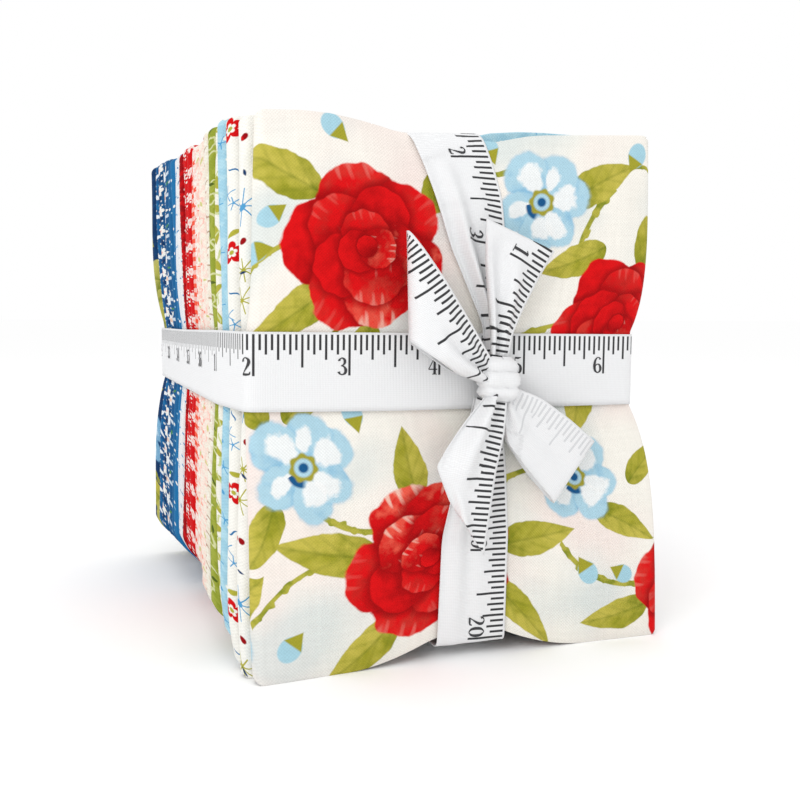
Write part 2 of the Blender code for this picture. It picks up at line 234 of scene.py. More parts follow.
class Canvas:
    """A woven material: a ground colour that motifs are printed on, a weave, and a shader."""

    def __init__(self, name, ground, **finish):
        self.material = new_look(name, **finish)
        self.tree = self.material.node_tree
        self.shader = self.tree.nodes["Principled BSDF"]
        self.at = self.new("ShaderNodeUVMap", uv_map=UV_LAYER).outputs["UV"]
        self.colour = (*ground, 1.0)

    def new(self, kind, **settings):
        made = self.tree.nodes.new(kind)
        for key, value in settings.items():
            setattr(made, key, value)
        return made

    def feed(self, slot, value):
        if isinstance(value, Num):
            self.tree.links.new(value.socket, slot)
        elif isinstance(value, bpy.types.NodeSocket):
            self.tree.links.new(value, slot)
        else:
            slot.default_value = value

    def split(self, vector):
        made = self.new("ShaderNodeSeparateXYZ")
        self.feed(made.inputs[0], vector)
        return [Num(self.tree, out) for out in made.outputs[:2]]

    def joined(self, x, y, z=0.0):
        made = self.new("ShaderNodeCombineXYZ")
        for slot, value in zip(made.inputs, (x, y, z)):
            self.feed(slot, value)
        return made.outputs[0]

    def mix(self, below, above, share):
        made = self.new("ShaderNodeMix", data_type="RGBA")
        self.feed(made.inputs[0], share)
        for slot, value in ((6, below), (7, above)):
            self.feed(made.inputs[slot], value if not isinstance(value, tuple) else (*value, 1.0)[:4])
        return made.outputs[2]

    def ink(self, colour, share):
        self.colour = self.mix(self.colour, colour, share)

    def noise(self, size, detail=2.0, at=None, stretch=(1.0, 1.0)):
        place = self.new("ShaderNodeMapping")
        place.inputs["Scale"].default_value = (stretch[0] / size, stretch[1] / size, 1.0)
        self.feed(place.inputs["Vector"], at or self.at)
        made = self.new("ShaderNodeTexNoise", noise_dimensions="2D")
        made.inputs["Scale"].default_value = 1.0
        made.inputs["Detail"].default_value = detail
        self.feed(made.inputs["Vector"], place.outputs[0])
        return Num(self.tree, made.outputs[0])

    def placed(self, at, x, y, turn, size_x, size_y):
        """The place seen from a motif's own middle, turned with it, in units of its size."""
        made = self.new("ShaderNodeMapping", vector_type="TEXTURE")
        made.inputs["Location"].default_value = (x, y, 0.0)
        made.inputs["Rotation"].default_value = (0.0, 0.0, math.radians(turn))
        made.inputs["Scale"].default_value = (size_x, size_y, 1.0)
        self.feed(made.inputs["Vector"], at)
        return made.outputs[0]

    def length(self, vector):
        made = self.new("ShaderNodeVectorMath", operation="LENGTH")
        self.feed(made.inputs[0], vector)
        return Num(self.tree, made.outputs["Value"])

    def nearest(self, at, rows):
        """The place seen from the nearest of several motifs, each an x, y, turn and two sizes."""
        best = self.placed(at, *rows[0])
        least = self.length(best)
        for row in rows[1:]:
            other = self.placed(at, *row)
            far = self.length(other)
            closer = far.below(least)
            made = self.new("ShaderNodeMix", data_type="VECTOR")
            self.feed(made.inputs[0], closer)
            self.feed(made.inputs[4], best)
            self.feed(made.inputs[5], other)
            best = made.outputs[1]
            least = least.least(far)
        return best

    def lattice(self, pitch_x, pitch_y, shift=0.5, jitter=0.0, spin=0.0, seed=0.0, drift=(0.0, 0.0)):
        """The place in a cell of a half-drop repeat, turned and moved at random.

        drift is where a motif's middle is, across and along the cloth.
        """
        x, y = self.split(self.at)
        x = (x - (drift[0] - pitch_x / 2)) / pitch_x
        column = x.floor()
        y = (y - (drift[1] - pitch_y / 2)) / pitch_y + column * shift
        chance = self.new("ShaderNodeTexWhiteNoise", noise_dimensions="3D")
        self.feed(chance.inputs["Vector"], self.joined(column, y.floor(), seed))
        u = (x.fract() - 0.5) * pitch_x
        v = (y.fract() - 0.5) * pitch_y
        if jitter:
            apart = self.new("ShaderNodeSeparateColor")
            self.feed(apart.inputs[0], chance.outputs["Color"])
            u = u + (Num(self.tree, apart.outputs[0]) - 0.5) * (2.0 * jitter)
            v = v + (Num(self.tree, apart.outputs[1]) - 0.5) * (2.0 * jitter)
        if spin:
            turn = (Num(self.tree, chance.outputs["Value"]) - 0.5) * math.radians(spin)
            cosine, sine = turn.cos(), turn.sin()
            u, v = u * cosine + v * sine, v * cosine - u * sine
        return u, v

    def shade(self, tone, height, strength, depth):
        """Join the shader: the print times a tone, and a bump."""
        shaded = self.new("ShaderNodeMix", data_type="RGBA", blend_type="MULTIPLY")
        shaded.inputs[0].default_value = 1.0
        self.feed(shaded.inputs[6], self.colour)
        self.feed(shaded.inputs[7], self.joined(tone, tone, tone))
        self.feed(self.shader.inputs["Base Color"], shaded.outputs[2])
        bump = self.new("ShaderNodeBump")
        bump.inputs["Strength"].default_value = strength
        bump.inputs["Distance"].default_value = depth * MM
        self.feed(bump.inputs["Height"], height)
        self.feed(self.shader.inputs["Normal"], bump.outputs[0])
        return self.material


THREAD = 0.45               # half the weave's repeat


class Cotton(Canvas):
    """A printed plain weave, whose threads vary in thickness; its colour is darker in the weave's hollows and
    lighter on its crossings, painted shade and highlight.
    """

    def __init__(self, name, ground):
        super().__init__(name, ground, Roughness=0.9, Specular_IOR_Level=0.1, Sheen_Weight=0.04,
                         Sheen_Roughness=0.5)

    def finish(self):
        x, y = self.split(self.at)
        bumps = (x * (math.pi / THREAD)).sin() * (y * (math.pi / THREAD)).sin()
        slub = self.noise(3.0, 1.0, stretch=(0.25, 2.5)) + self.noise(3.0, 1.0, stretch=(2.5, 0.25))
        # The tone follows the weave's height: painted shade in its hollows and painted highlight on its
        # crossings, varied at random by the slubs.
        return self.shade(bumps * 0.05 + slub * 0.06 + 0.83, bumps, 0.5, 0.08)


# ---- motifs
def radius_of(u, v):
    return (u * u + v * v) ** 0.5


def dot(u, v, size):
    return radius_of(u, v).within(size)


def flower(u, v, size, petals=5, notch=0.45):
    lobes = (v.angle_of(u) * (petals / 2.0)).cos().abs() ** 0.7
    return radius_of(u, v).within(lobes * (size * notch) + size * (1.0 - notch))


def star(u, v, size, rays=8, width=0.28):
    far = radius_of(u, v)
    line = ((v.angle_of(u) * (rays / 2.0)).sin().abs() * far).within(width * 2.0)
    return line * far.within(size)


def petal(u, v, size, slim=0.38):
    return v.abs().within((1.0 - u * u * (1.0 / size ** 2)) * (size * slim))


def sprig(u, v, size):
    leaves = (u * (7.5 / size)).sin().abs() * (0.26 * size) + 0.03 * size
    return v.abs().within(leaves) * u.abs().within(size)


def ring(u, v, size):
    """A scalloped flower drawn in outline."""
    far = radius_of(u, v)
    lobes = (v.angle_of(u) * 3.0).cos().abs() * (0.16 * size) + 0.84 * size
    return far.within(lobes) * (far - lobes * 0.66).ramp(-0.12, 0.12)


def fleck(u, v, size):
    """A short curled stroke with tapered ends."""
    thick = (1.0 - u * u * (1.0 / size ** 2)) * (0.2 * size)
    return (v - (u * (2.6 / size)).sin() * (0.32 * size)).abs().within(thick, 0.06)


def twinkle(u, v, size):
    return star(u, v, size, rays=5, width=0.16)


MOTIFS = {draw.__name__: draw for draw in (dot, flower, star, petal, sprig, ring, fleck, twinkle)}

# Colours as they look on the cloth, in linear light
CREAM = (0.86, 0.83, 0.74)
WHITE = (0.87, 0.86, 0.81)
LEAF_LIGHT = (0.42, 0.40, 0.045)
LEAF_DARK = (0.17, 0.22, 0.012)
RED = (0.62, 0.003, 0.005)
RED_DEEP = (0.30, 0.001, 0.004)
CORAL = (0.85, 0.10, 0.05)
PINK = (0.90, 0.50, 0.44)
BLUSH = (0.88, 0.66, 0.58)
SKY = (0.34, 0.59, 0.72)
SKY_DEEP = (0.08, 0.33, 0.60)
BLUE = (0.010, 0.095, 0.25)
BLUE_BRIGHT = (0.012, 0.16, 0.38)
NAVY = (0.004, 0.035, 0.12)

Motif = namedtuple("Motif", "kind size colour pitch_x pitch_y jitter spin seed drift_x drift_y",
                   defaults=(0, 0, 0.0, 0.0, 0.0, 0.0, 0.0))

# Ground, then the motifs in the order that they are printed. Their middles drift across from the middle
# of the left fold and up from the foot.
SMALL_PRINTS = {
    "stars": (WHITE, (
        ("star", 4.6, SKY_DEEP, 32, 52, 0.6, 40, 1, 1.0, 18),
        ("dot", 0.9, SKY_DEEP, 32, 52, 0.6, 0, 1, 1.0, 18),
        ("star", 3.8, LEAF_LIGHT, 32, 52, 0.8, 40, 2, 1.4, 46),
        ("star", 3.2, LEAF_LIGHT, 32, 52, 0.8, 40, 2, 1.8, 2),
        ("dot", 0.85, RED_DEEP, 32, 26, 0.5, 0, 3, 1.5, 9),
        ("petal", 1.2, NAVY, 32, 26, 0.8, 200, 4, 1.2, 1),
        ("petal", 1.0, RED, 32, 52, 0.8, 200, 5, 0.8, 35),
    )),
    "red_sprigs": (WHITE, (
        ("petal", 2.2, LEAF_LIGHT, 24, 32, 0.3, 60, 5, 2.2, 19),
        ("flower", 3.1, RED, 24, 32, 0.3, 50, 5, 1.8, 14),
        ("flower", 1.5, WHITE, 24, 32, 0.3, 50, 5, 1.8, 14),
        ("dot", 0.6, LEAF_LIGHT, 24, 32, 0.3, 0, 5, 1.8, 14),
        ("twinkle", 2.4, SKY_DEEP, 24, 32, 0.4, 120, 6, 0.2, 30),
        ("twinkle", 1.8, SKY_DEEP, 24, 32, 0.4, 120, 7, 1.8, 27),
        ("fleck", 1.6, BLUE_BRIGHT, 24, 32, 0.5, 200, 8, 1.8, 3),
        ("flower", 2.6, RED, 24, 32, 0.3, 90, 9, 12, 30),
    )),
    "pale_dots": (SKY, (
        ("mottle", 3.0, (0.44, 0.68, 0.78)),
        ("twinkle", 1.8, SKY_DEEP, 10, 15, 1.0, 200, 11, 0.5, 4),
        ("dot", 0.55, WHITE, 6, 6, 0.6, 0, 10, 3, 2),
        ("dot", 0.6, SKY_DEEP, 10, 15, 1.0, 0, 12, 0, 11),
    )),
    "green_leaves": (CREAM, (
        ("petal", 3.2, LEAF_LIGHT, 7, 8, 0.6, 200, 13, 0, 2),
        ("petal", 2.0, (0.24, 0.34, 0.06), 7, 9, 0.6, 300, 14, -1, 6),
        ("petal", 1.3, RED, 8, 27, 0.6, 300, 14, -1, 11),
        ("fleck", 2.2, (0.60, 0.64, 0.30), 5, 6, 0.6, 300, 15, 1, 6),
    )),
    "olive": ((0.28, 0.33, 0.035), (
        ("mottle", 2.6, (0.36, 0.40, 0.06)),
        ("ring", 2.0, (0.62, 0.64, 0.34), 9, 15, 0.8, 90, 16, 0.6, 5),
        ("fleck", 2.2, (0.62, 0.64, 0.34), 9, 9, 0.8, 200, 17, 0.6, 12),
        ("petal", 1.5, (0.08, 0.12, 0.015), 9, 15, 0.8, 300, 18, 0.8, 9),
    )),
    "brown_lines": (CREAM, (
        ("mottle", 1.8, (0.80, 0.70, 0.58)),
        ("fleck", 2.0, (0.50, 0.36, 0.26), 5, 5, 0.4, 120, 19),
        ("dot", 0.35, (0.45, 0.14, 0.10), 3, 4, 0.3, 0, 20),
    )),
    "cream_buds": ((0.86, 0.80, 0.70), (
        ("mottle", 1.6, BLUSH),
        ("ring", 1.5, PINK, 6, 7, 0.6, 90, 21),
        ("petal", 1.3, (0.60, 0.58, 0.22), 7, 12, 0.8, 300, 22, 0.5, 5),
    )),
    "blush": ((0.90, 0.74, 0.66), (
        ("mottle", 1.3, CREAM),
        ("fleck", 1.6, PINK, 3.4, 4, 0.6, 300, 24),
        ("dot", 0.5, (0.88, 0.30, 0.22), 3, 4, 0.8, 0, 25),
    )),
    "pink": ((0.90, 0.54, 0.46), (
        ("mottle", 1.2, CREAM),
        ("flower", 1.5, CREAM, 4.4, 5, 0.6, 90, 27),
        ("fleck", 1.2, CORAL, 4, 5, 0.8, 300, 28, 2, 3),
        ("petal", 1.4, (0.62, 0.58, 0.24), 8, 17, 0.8, 300, 29, 1, 4),
    )),
    "coral_buds": ((0.88, 0.62, 0.56), (
        ("mottle", 1.1, WHITE),
        ("flower", 1.2, CORAL, 4.4, 5, 0.6, 90, 30),
        ("dot", 0.35, WHITE, 1.8, 1.8, 0.3, 0, 31),
    )),
    "red_flowers": (RED, (
        ("dot", 0.33, WHITE, 1.5, 1.5, 0.2, 0, 34),
        ("dot", 2.3, RED, 16, 8.9, 0.2, 0, 33, 1.4, 8.4),
        ("flower", 1.6, (0.86, 0.74, 0.70), 16, 8.9, 0.2, 70, 33, 1.4, 4),
        ("dot", 0.5, PINK, 16, 8.9, 0.2, 0, 33, 1.4, 4),
    )),
    "red_flowers_close": (RED, (
        ("dot", 0.36, WHITE, 1.4, 1.4, 0.2, 0, 35),
        ("flower", 2.2, RED, 16, 8.9, 0.2, 90, 36, 0.8, 8.4),
        ("flower", 1.3, (0.86, 0.72, 0.68), 16, 8.9, 0.3, 70, 36, 0.2, 4),
    )),
    "deep_red": (RED_DEEP, (
        ("mottle", 2.4, RED),
        ("dot", 0.35, (0.88, 0.60, 0.55), 2.4, 2.4, 0.3, 0, 37),
    )),
    "blue_flecks": ((0.80, 0.81, 0.82), (
        ("petal", 1.1, BLUE_BRIGHT, 5, 6, 0.9, 300, 39),
        ("dot", 0.35, SKY_DEEP, 3, 3, 0.8, 0, 40, 2, 2),
    )),
    "blue_sprigs": ((0.74, 0.77, 0.80), (
        ("sprig", 1.8, SKY_DEEP, 7, 7, 0.6, 300, 41),
        ("petal", 0.9, BLUE, 7, 7, 0.6, 300, 42, 4, 4),
    )),
    "blue_dots": (BLUE_BRIGHT, (
        ("dot", 0.5, WHITE, 11, 9, 0.8, 0, 43, 1.0, 4),
        ("petal", 0.9, SKY, 11, 18, 0.8, 200, 44, 0.6, 10),
    )),
    "blue_dots_wide": ((0.010, 0.12, 0.30), (
        ("dot", 0.5, WHITE, 11, 12, 1.0, 0, 45, 0.8, 9),
        ("dot", 0.3, SKY, 5, 6, 1.0, 0, 46, 2, 2),
    )),
    "petals": (BLUE, (
        ("petal", 2.0, (0.60, 0.68, 0.76), 14, 8.3, 0.2, 30, 47, 1.4, 3.2),
        ("petal", 1.6, WHITE, 14, 8.3, 0.2, 250, 48, 0.4, 5.4),
        ("petal", 1.3, (0.08, 0.26, 0.10), 14, 16.6, 0.2, 200, 48, 1.2, 7.4),
        ("dot", 0.3, SKY, 2.2, 2.2, 0.3, 0, 49),
    )),
    "petals_close": ((0.010, 0.11, 0.29), (
        ("dot", 0.33, WHITE, 1.6, 1.8, 0.2, 0, 50),
        ("petal", 2.4, NAVY, 14, 8.3, 0.2, 160, 52, 0.6, 6.6),
        ("flower", 2.3, (0.80, 0.82, 0.84), 14, 8.3, 0.2, 90, 51, 0.8, 3),
        ("dot", 0.9, (0.80, 0.56, 0.44), 14, 16.6, 0.2, 90, 51, 0.8, 3),
        ("petal", 1.7, BLUE, 14, 8.3, 0.2, 200, 52, 0.8, 7.2),
    )),
    "blue_ditsy": (BLUE, (
        ("dot", 0.3, WHITE, 1.6, 2.0, 0.25, 0, 54),
        ("petal", 2.6, NAVY, 12, 8.3, 0.3, 120, 55, 0.4, 2.6),
        ("flower", 2.2, WHITE, 12, 8.3, 0.3, 90, 53, 0.4, 6.6),
        ("dot", 0.5, PINK, 12, 8.3, 0.3, 0, 53, 0.4, 6.6),
    )),
    "blue_ditsy_close": ((0.008, 0.09, 0.26), (
        ("petal", 2.6, (0.01, 0.14, 0.34), 12, 8.3, 0.3, 200, 57, 0.6, 1),
        ("petal", 2.2, (0.78, 0.82, 0.86), 12, 8.3, 0.3, 120, 56, 0.6, 5),
        ("dot", 0.34, WHITE, 2.2, 2.6, 0.3, 0, 55),
    )),
}


CHECK = 3.2                 # repeat of the small check


def small_print(name, fold):
    """One of the small prints, its motifs set out from the fold."""
    ground, motifs = SMALL_PRINTS[name]
    canvas = Cotton(name, ground)
    for motif in (Motif(*values) for values in motifs):
        if motif.kind == "mottle":
            canvas.ink(motif.colour, canvas.noise(motif.size).ramp(0.46, 0.58) * 0.8)
            continue
        u, v = canvas.lattice(motif.pitch_x, motif.pitch_y, 0.5, motif.jitter, motif.spin, motif.seed,
                              (motif.drift_x + fold, motif.drift_y))
        canvas.ink(motif.colour, MOTIFS[motif.kind](u, v, motif.size))
    return canvas.finish()


def coral_check():
    canvas = Cotton("coral_check", WHITE)
    bars = [(axis * (1.0 / CHECK)).fract().within(0.5, 0.03) for axis in canvas.split(canvas.at)]
    canvas.ink(CORAL, (bars[0] + bars[1]) * 0.5)
    canvas.ink(RED_DEEP, dot(*canvas.lattice(CHECK, CHECK, 0.0, 0.3, 0.0, 50.0), 0.35))
    return canvas.finish()


# ---- the large floral: x to the right and y up on the front face, millimetres
TILE = (180.0, 200.0)
TILE_MIDDLE = (0.0, 72.0)

# x, y, turn in degrees, half size along and across
BLOOMS = ((-27, 112, 20, 23, 22), (51, 92, -35, 21, 20), (-10, 25, 160, 24, 22), (70, 14, 80, 20, 20))
DAISIES = ((23, 126, 8, 15, 15), (-43, 55, 30, 15, 15), (33, 49, 50, 14, 14), (-70, 6, 10, 14, 14),
           (76, 140, 45, 13, 13))
LEAVES = (
    (-51, 131, 150, 13, 6.5), (-47, 94, 215, 13, 6.5), (-4, 133, 60, 12, 6), (-4, 93, -50, 12, 6),
    (-25, 83, -95, 10, 5.5), (42, 131, 25, 12, 6), (33, 110, 200, 11, 5.5), (60, 118, 70, 12, 6),
    (68, 72, -40, 12, 6), (40, 70, -120, 11, 5.5), (-38, 33, 170, 14, 7), (-29, 5, 215, 13, 6),
    (15, 7, -40, 12, 6), (21, 30, 20, 12, 6), (-14, 54, 95, 11, 5.5), (-57, 74, 120, 10, 5),
    (-54, 37, 250, 10, 5), (48, 34, -30, 11, 5), (44, 8, 190, 11, 5.5), (18, 64, 140, 9, 4.5),
    (2, 117, 250, 8, 4), (-58, 20, 60, 9, 4.5), (57, 52, 40, 9, 4.5), (-74, 110, 80, 12, 6),
    (-76, 40, 260, 12, 6), (-40, 72, 35, 9, 4.5),
)
BUDS = ((-56, 110, 190, 5, 4), (-28, 68, 100, 5, 4), (8, 142, 110, 5, 4), (53, 138, 60, 5, 4),
        (8, 78, 40, 5, 4), (35, 22, 300, 5, 4), (-47, 9, 230, 5, 4), (-36, 141, 140, 5, 4),
        (-52, 119, 215, 4.5, 3.6), (14, 104, 330, 4.5, 3.6), (46, 20, 330, 4.5, 3.6))
# x, y, turn, half length, how far the bow of the twig reaches
TWIGS = ((-52, 104, 40, 16, 22), (-36, 76, 75, 16, 22), (8, 130, 20, 14, 20), (44, 120, 55, 18, 24),
         (26, 84, 30, 18, 24), (40, 62, 60, 16, 20), (-30, 44, 160, 18, 26), (12, 40, 40, 18, 22),
         (40, 24, 150, 16, 22), (-44, 22, 35, 16, 20), (52, 132, 10, 12, 16), (-14, 8, 0, 14, 18))

# A petal of a bloom, from the back ones to the front ones: place, turn, half length and half width in
# shares of the bloom's size, and how much of the light colour it takes.
BLOOM_PETALS = (
    (0.05, 0.55, 95, 0.43, 0.50, 0.2), (-0.52, 0.20, 160, 0.44, 0.48, 0.0),
    (0.50, 0.22, 20, 0.45, 0.47, 0.1), (-0.36, -0.42, 230, 0.46, 0.47, 0.1),
    (0.38, -0.42, 310, 0.48, 0.46, 1.0), (0.02, -0.54, 268, 0.42, 0.46, 0.7),
    (-0.24, 0.32, 128, 0.36, 0.38, 0.1), (0.26, 0.30, 50, 0.37, 0.36, 0.0),
    (-0.32, -0.12, 200, 0.36, 0.38, 0.0), (0.30, -0.18, 330, 0.37, 0.38, 0.8),
    (-0.02, -0.34, 262, 0.33, 0.38, 0.3), (0.02, 0.18, 92, 0.26, 0.28, 0.1),
    (-0.12, -0.02, 190, 0.24, 0.25, 0.0), (0.13, -0.04, 345, 0.23, 0.24, 0.6),
    (0.0, 0.02, 120, 0.12, 0.12, 0.0),
)


def tiled(canvas, shift=(0.0, 0.0)):
    """The place in one large repeat of the design."""
    x, y = canvas.split(canvas.at)
    half = (TILE[0] / 2 - TILE_MIDDLE[0], TILE[1] / 2 - TILE_MIDDLE[1])
    x = (x + (half[0] + shift[0])) % TILE[0] - half[0]
    y = (y + (half[1] + shift[1])) % TILE[1] - half[1]
    return canvas.joined(x, y)


def twigs(canvas, at, rows, colour, dark):
    """Thin bowed twigs with small knots."""
    u, v = canvas.split(canvas.nearest(at, rows))
    drop = (v - (1.0 - u * u) * 0.22).abs()
    knots = (canvas.noise(2.6, 0.0) - 0.55).most(0.0) * 0.12
    wander = canvas.noise(7.0, 1.0) * 0.02
    mask = (drop + wander).within(knots + 0.048, 0.006) * u.abs().within(0.97, 0.01)
    canvas.ink(canvas.mix(colour, dark, canvas.noise(4.0).ramp(0.45, 0.7) * 0.8), mask)


def leaves(canvas, at, rows, light, middle, dark):
    """Leaves with a darker half, a deeper base, a pointed tip and faint veins."""
    u, v = canvas.split(canvas.nearest(at, rows))
    v = v - (1.0 - u * u) * 0.12
    uneven = canvas.noise(4.5, 2.0) * 0.26 + 0.87
    edge = ((1.0 + u).most(0.0) ** 0.55) * (1.0 - u).most(0.0) * 0.80 * uneven
    inside = v.abs().within(edge, 0.03)
    blotch = canvas.noise(6.0) - 0.5
    streaks = canvas.noise(2.2, 2.0) - 0.5
    base = (v.ramp(-0.10, 0.14) * 0.45 - u * 0.30 + blotch * 1.4 + streaks * 0.5 + 0.22).ramp(0.0, 1.0)
    veins = ((u - v.abs() * 0.8) * 13.0).sin().ramp(0.3, 1.0) * 0.22
    rib = v.abs().within(0.05, 0.06) * 0.5
    tint = canvas.mix(light, middle, base)
    tip = (blotch + streaks * 0.6 - u * 0.75).ramp(0.2, 1.2) * 0.9
    canvas.ink(canvas.mix(tint, dark, (veins + rib + tip).ramp(0.0, 1.3)), inside)


def daisies(canvas, at, rows, outer, inner, vein, heart, eye):
    """Light flowers with six round petals, each with a paler patch, round a ringed heart."""
    flower_at = canvas.nearest(at, rows)
    cloud = canvas.noise(5.0) - 0.5
    edges = canvas.noise(1.5, 1.0) - 0.5
    for step in range(6):
        turn = 60 * step + 14 * math.sin(5.0 * step)
        c, s = math.cos(math.radians(turn)), math.sin(math.radians(turn))
        reach = 0.54 + 0.06 * math.sin(3.7 * step)
        p, q = canvas.split(canvas.placed(flower_at, reach * c, reach * s, turn, 0.42, 0.38 + 0.05 * s))
        far = radius_of(p, q) + cloud * 0.30 + edges * 0.08
        canvas.ink(vein, far.ramp(1.14, 0.98) * 0.45)
        tint = canvas.mix(outer, vein, (q * 0.30 - p * 0.30 + cloud * 1.6).ramp(0.0, 0.9))
        canvas.ink(tint, far.within(1.0, 0.05))
    for step in range(6):
        turn = 60 * step + 14 * math.sin(5.0 * step) + 9 * math.sin(2.0 * step)
        c, s = math.cos(math.radians(turn)), math.sin(math.radians(turn))
        long, wide = 0.25 + 0.05 * math.sin(4.0 * step), 0.19 + 0.06 * math.sin(3.0 * step + 1.0)
        p, q = canvas.split(canvas.placed(flower_at, 0.47 * c, 0.47 * s, turn, long, wide))
        taper = q * (1.35 - p.ramp(-1.0, 1.0) * 0.55)
        canvas.ink(inner, (radius_of(p, taper) + cloud * 0.7 + edges * 0.35).within(1.0, 0.14) * 0.92)
    u, v = canvas.split(flower_at)
    far = radius_of(u, v)
    turn = v.angle_of(u)
    canvas.ink(eye, radius_of(u + 0.05, v + 0.06).within(0.27, 0.02) * (turn * 1.5).sin().ramp(-0.2, 0.2))
    canvas.ink(heart, far.within((turn * 7.0).sin() * 0.02 + 0.26, 0.02))
    canvas.ink(outer, far.within(0.16, 0.02))
    canvas.ink(eye, far.within(0.085, 0.02))


def blooms(canvas, at, rows, bright, deep, light, gap):
    """Full flowers of layered petals with fine scalloped rims, deep at their bases."""
    bloom_at = canvas.nearest(at, rows)
    streaks = canvas.noise(3.4, 2.5) - 0.5
    cloud = canvas.noise(9.0, 1.0) - 0.5
    covered = 0.0
    for order, (x, y, turn, long, wide, glow) in enumerate(BLOOM_PETALS):
        p, q = canvas.split(canvas.placed(bloom_at, x, y, turn, long, wide))
        far = radius_of(p, q)
        rim = (q.angle_of(p) * 9.0 + order * 1.3).cos() * 0.02 + (cloud * 0.3 + streaks * 0.1 + 1.0)
        inside = (rim - far).ramp(-0.02, 0.03)
        canvas.ink(deep, (rim - far).ramp(-0.26, 0.02) * covered * 0.8)
        covered = inside.most(covered)
        shade = (streaks * 1.1 - p * 0.42 + q * 0.16 + 0.40 + cloud * 0.5).ramp(0.0, 1.0)
        tint = canvas.mix(bright, deep, shade)
        if glow:
            warm = (streaks * 1.6 + p * 0.5 - q * 0.3 + cloud).ramp(0.02, 0.55)
            tint = canvas.mix(tint, light, warm * glow)
            strokes = canvas.noise(0.5, 1.5, at=canvas.joined(p, q), stretch=(0.45, 2.2))
            tint = canvas.mix(tint, gap, (strokes * 3.2 + p * 0.7 - 2.05).ramp(0.0, 0.5) * glow * 0.9)
        canvas.ink(tint, inside)


def buds(canvas, at, rows, petals, cup):
    u, v = canvas.split(canvas.nearest(at, rows))
    canvas.ink(petals, radius_of(u - 0.2, v).within(0.72, 0.05))
    canvas.ink(cup, v.abs().within((u + 0.95).most(0.0) * 0.8, 0.05) * u.within(-0.02, 0.04))


def large_floral():
    canvas = Cotton("large_floral", (0.90, 0.87, 0.80))
    canvas.ink((0.86, 0.68, 0.65), canvas.noise(36.0, 1.5, stretch=(1.0, 0.8)).ramp(0.44, 0.70) * 0.55)
    canvas.ink((0.60, 0.68, 0.68), canvas.noise(31.0, 1.5, stretch=(0.9, -1.1)).ramp(0.46, 0.70) * 0.6)
    at = tiled(canvas)
    twigs(canvas, at, TWIGS, (0.45, 0.42, 0.06), LEAF_DARK)
    leaves(canvas, at, LEAVES, (0.55, 0.48, 0.08), (0.34, 0.33, 0.025), (0.13, 0.17, 0.008))
    buds(canvas, at, BUDS, (0.38, 0.62, 0.72), (0.36, 0.34, 0.03))
    daisies(canvas, at, DAISIES, (0.42, 0.64, 0.75), (0.88, 0.89, 0.88), (0.20, 0.45, 0.66),
            (0.36, 0.33, 0.04), BLUE)
    blooms(canvas, at, BLOOMS, (0.70, 0.004, 0.006), (0.30, 0.0005, 0.002), (0.84, 0.11, 0.07),
           (0.88, 0.56, 0.46))
    return canvas.finish()


def navy_leaves():
    canvas = Cotton("navy_leaves", NAVY)
    canvas.ink(BLUE, canvas.noise(2.5, 2.0).ramp(0.45, 0.7) * 0.35)
    at = tiled(canvas, (34.0, 21.0))
    twigs(canvas, at, TWIGS, (0.30, 0.30, 0.05), (0.12, 0.16, 0.02))
    leaves(canvas, at, LEAVES, (0.56, 0.50, 0.08), (0.36, 0.36, 0.04), (0.14, 0.20, 0.02))
    buds(canvas, at, BUDS, (0.55, 0.66, 0.74), (0.36, 0.34, 0.04))
    daisies(canvas, at, DAISIES, (0.20, 0.42, 0.62), (0.62, 0.76, 0.84), (0.05, 0.20, 0.42),
            (0.50, 0.44, 0.06), NAVY)
    blooms(canvas, at, BLOOMS, (0.50, 0.47, 0.10), (0.16, 0.20, 0.02), (0.76, 0.72, 0.36), NAVY)
    return canvas.finish()


LARGE_PRINTS = {draw.__name__: draw for draw in (large_floral, navy_leaves, coral_check)}


# ======== The folded cloth ========
def clipped(share):
    """A share kept between 0 and 1."""
    return np.clip(share, 0.0, 1.0)


def fade(distance, reach):
    return np.exp(-np.maximum(distance, 0.0) / reach)


def side_share(z):
    """Share of the side bands' pull at a height."""
    return fade(np.maximum(ACROSS_LOW - z, z - ACROSS_HIGH), SIDE_REACH)


def top_lean(z):
    """How far back the front stands at a height under the upright band, which rounds its top off."""
    return TOP_LEAN * np.clip((z - TOP_LEAN_FROM) / TOP_LEAN_HEIGHT, 0.0, 1.1) ** 2


def upright_share(x, middle):
    """Share of the upright band's pull on an edge at x."""
    beside = np.maximum(np.abs(x - middle) - RIBBON_WIDTH / 2, 0.0)
    return np.maximum(0.0, 1.0 - beside / PULL_REACH) ** PULL_POWER


def corner_drop(distance, radius):
    """How far a rounded corner of this radius falls short of a square one."""
    inside = np.clip(radius - distance, 0.0, radius)
    return radius - np.sqrt(radius ** 2 - inside ** 2)


# A soft trough or ridge on the front, from one end to the other: its half width and its depth.
Crease = namedtuple("Crease", "x0 z0 x1 z1 width depth")
FRONT_CREASES = (
    (16, 96, 42, 120, 5.0, 0.55), (14, 108, 28, 138, 4.5, 0.50), (-8, 96, -30, 116, 6.0, 0.40),
    (44, 92, 50, 140, 7.0, -0.50), (-12, 62, -34, 44, 6.0, 0.50), (16, 60, 34, 30, 6.0, 0.55),
    (14, 26, 40, 6, 6.0, 0.45), (-14, 24, -34, 6, 6.0, 0.40), (-46, 96, -44, 132, 7.0, -0.35),
)


def crease_depth(x, z):
    total = np.zeros_like(x)
    for c in (Crease(*values) for values in FRONT_CREASES):
        run_x, run_z = c.x1 - c.x0, c.z1 - c.z0
        span = math.hypot(run_x, run_z)
        along = ((x - c.x0) * run_x + (z - c.z0) * run_z) / span ** 2
        off = ((x - c.x0) * run_z - (z - c.z0) * run_x) / span
        past = np.maximum(np.maximum(-along, along - 1.0), 0.0) * span
        total += c.depth * np.exp(-(off / c.width) ** 2 - (past / (1.6 * c.width)) ** 2)
    return total


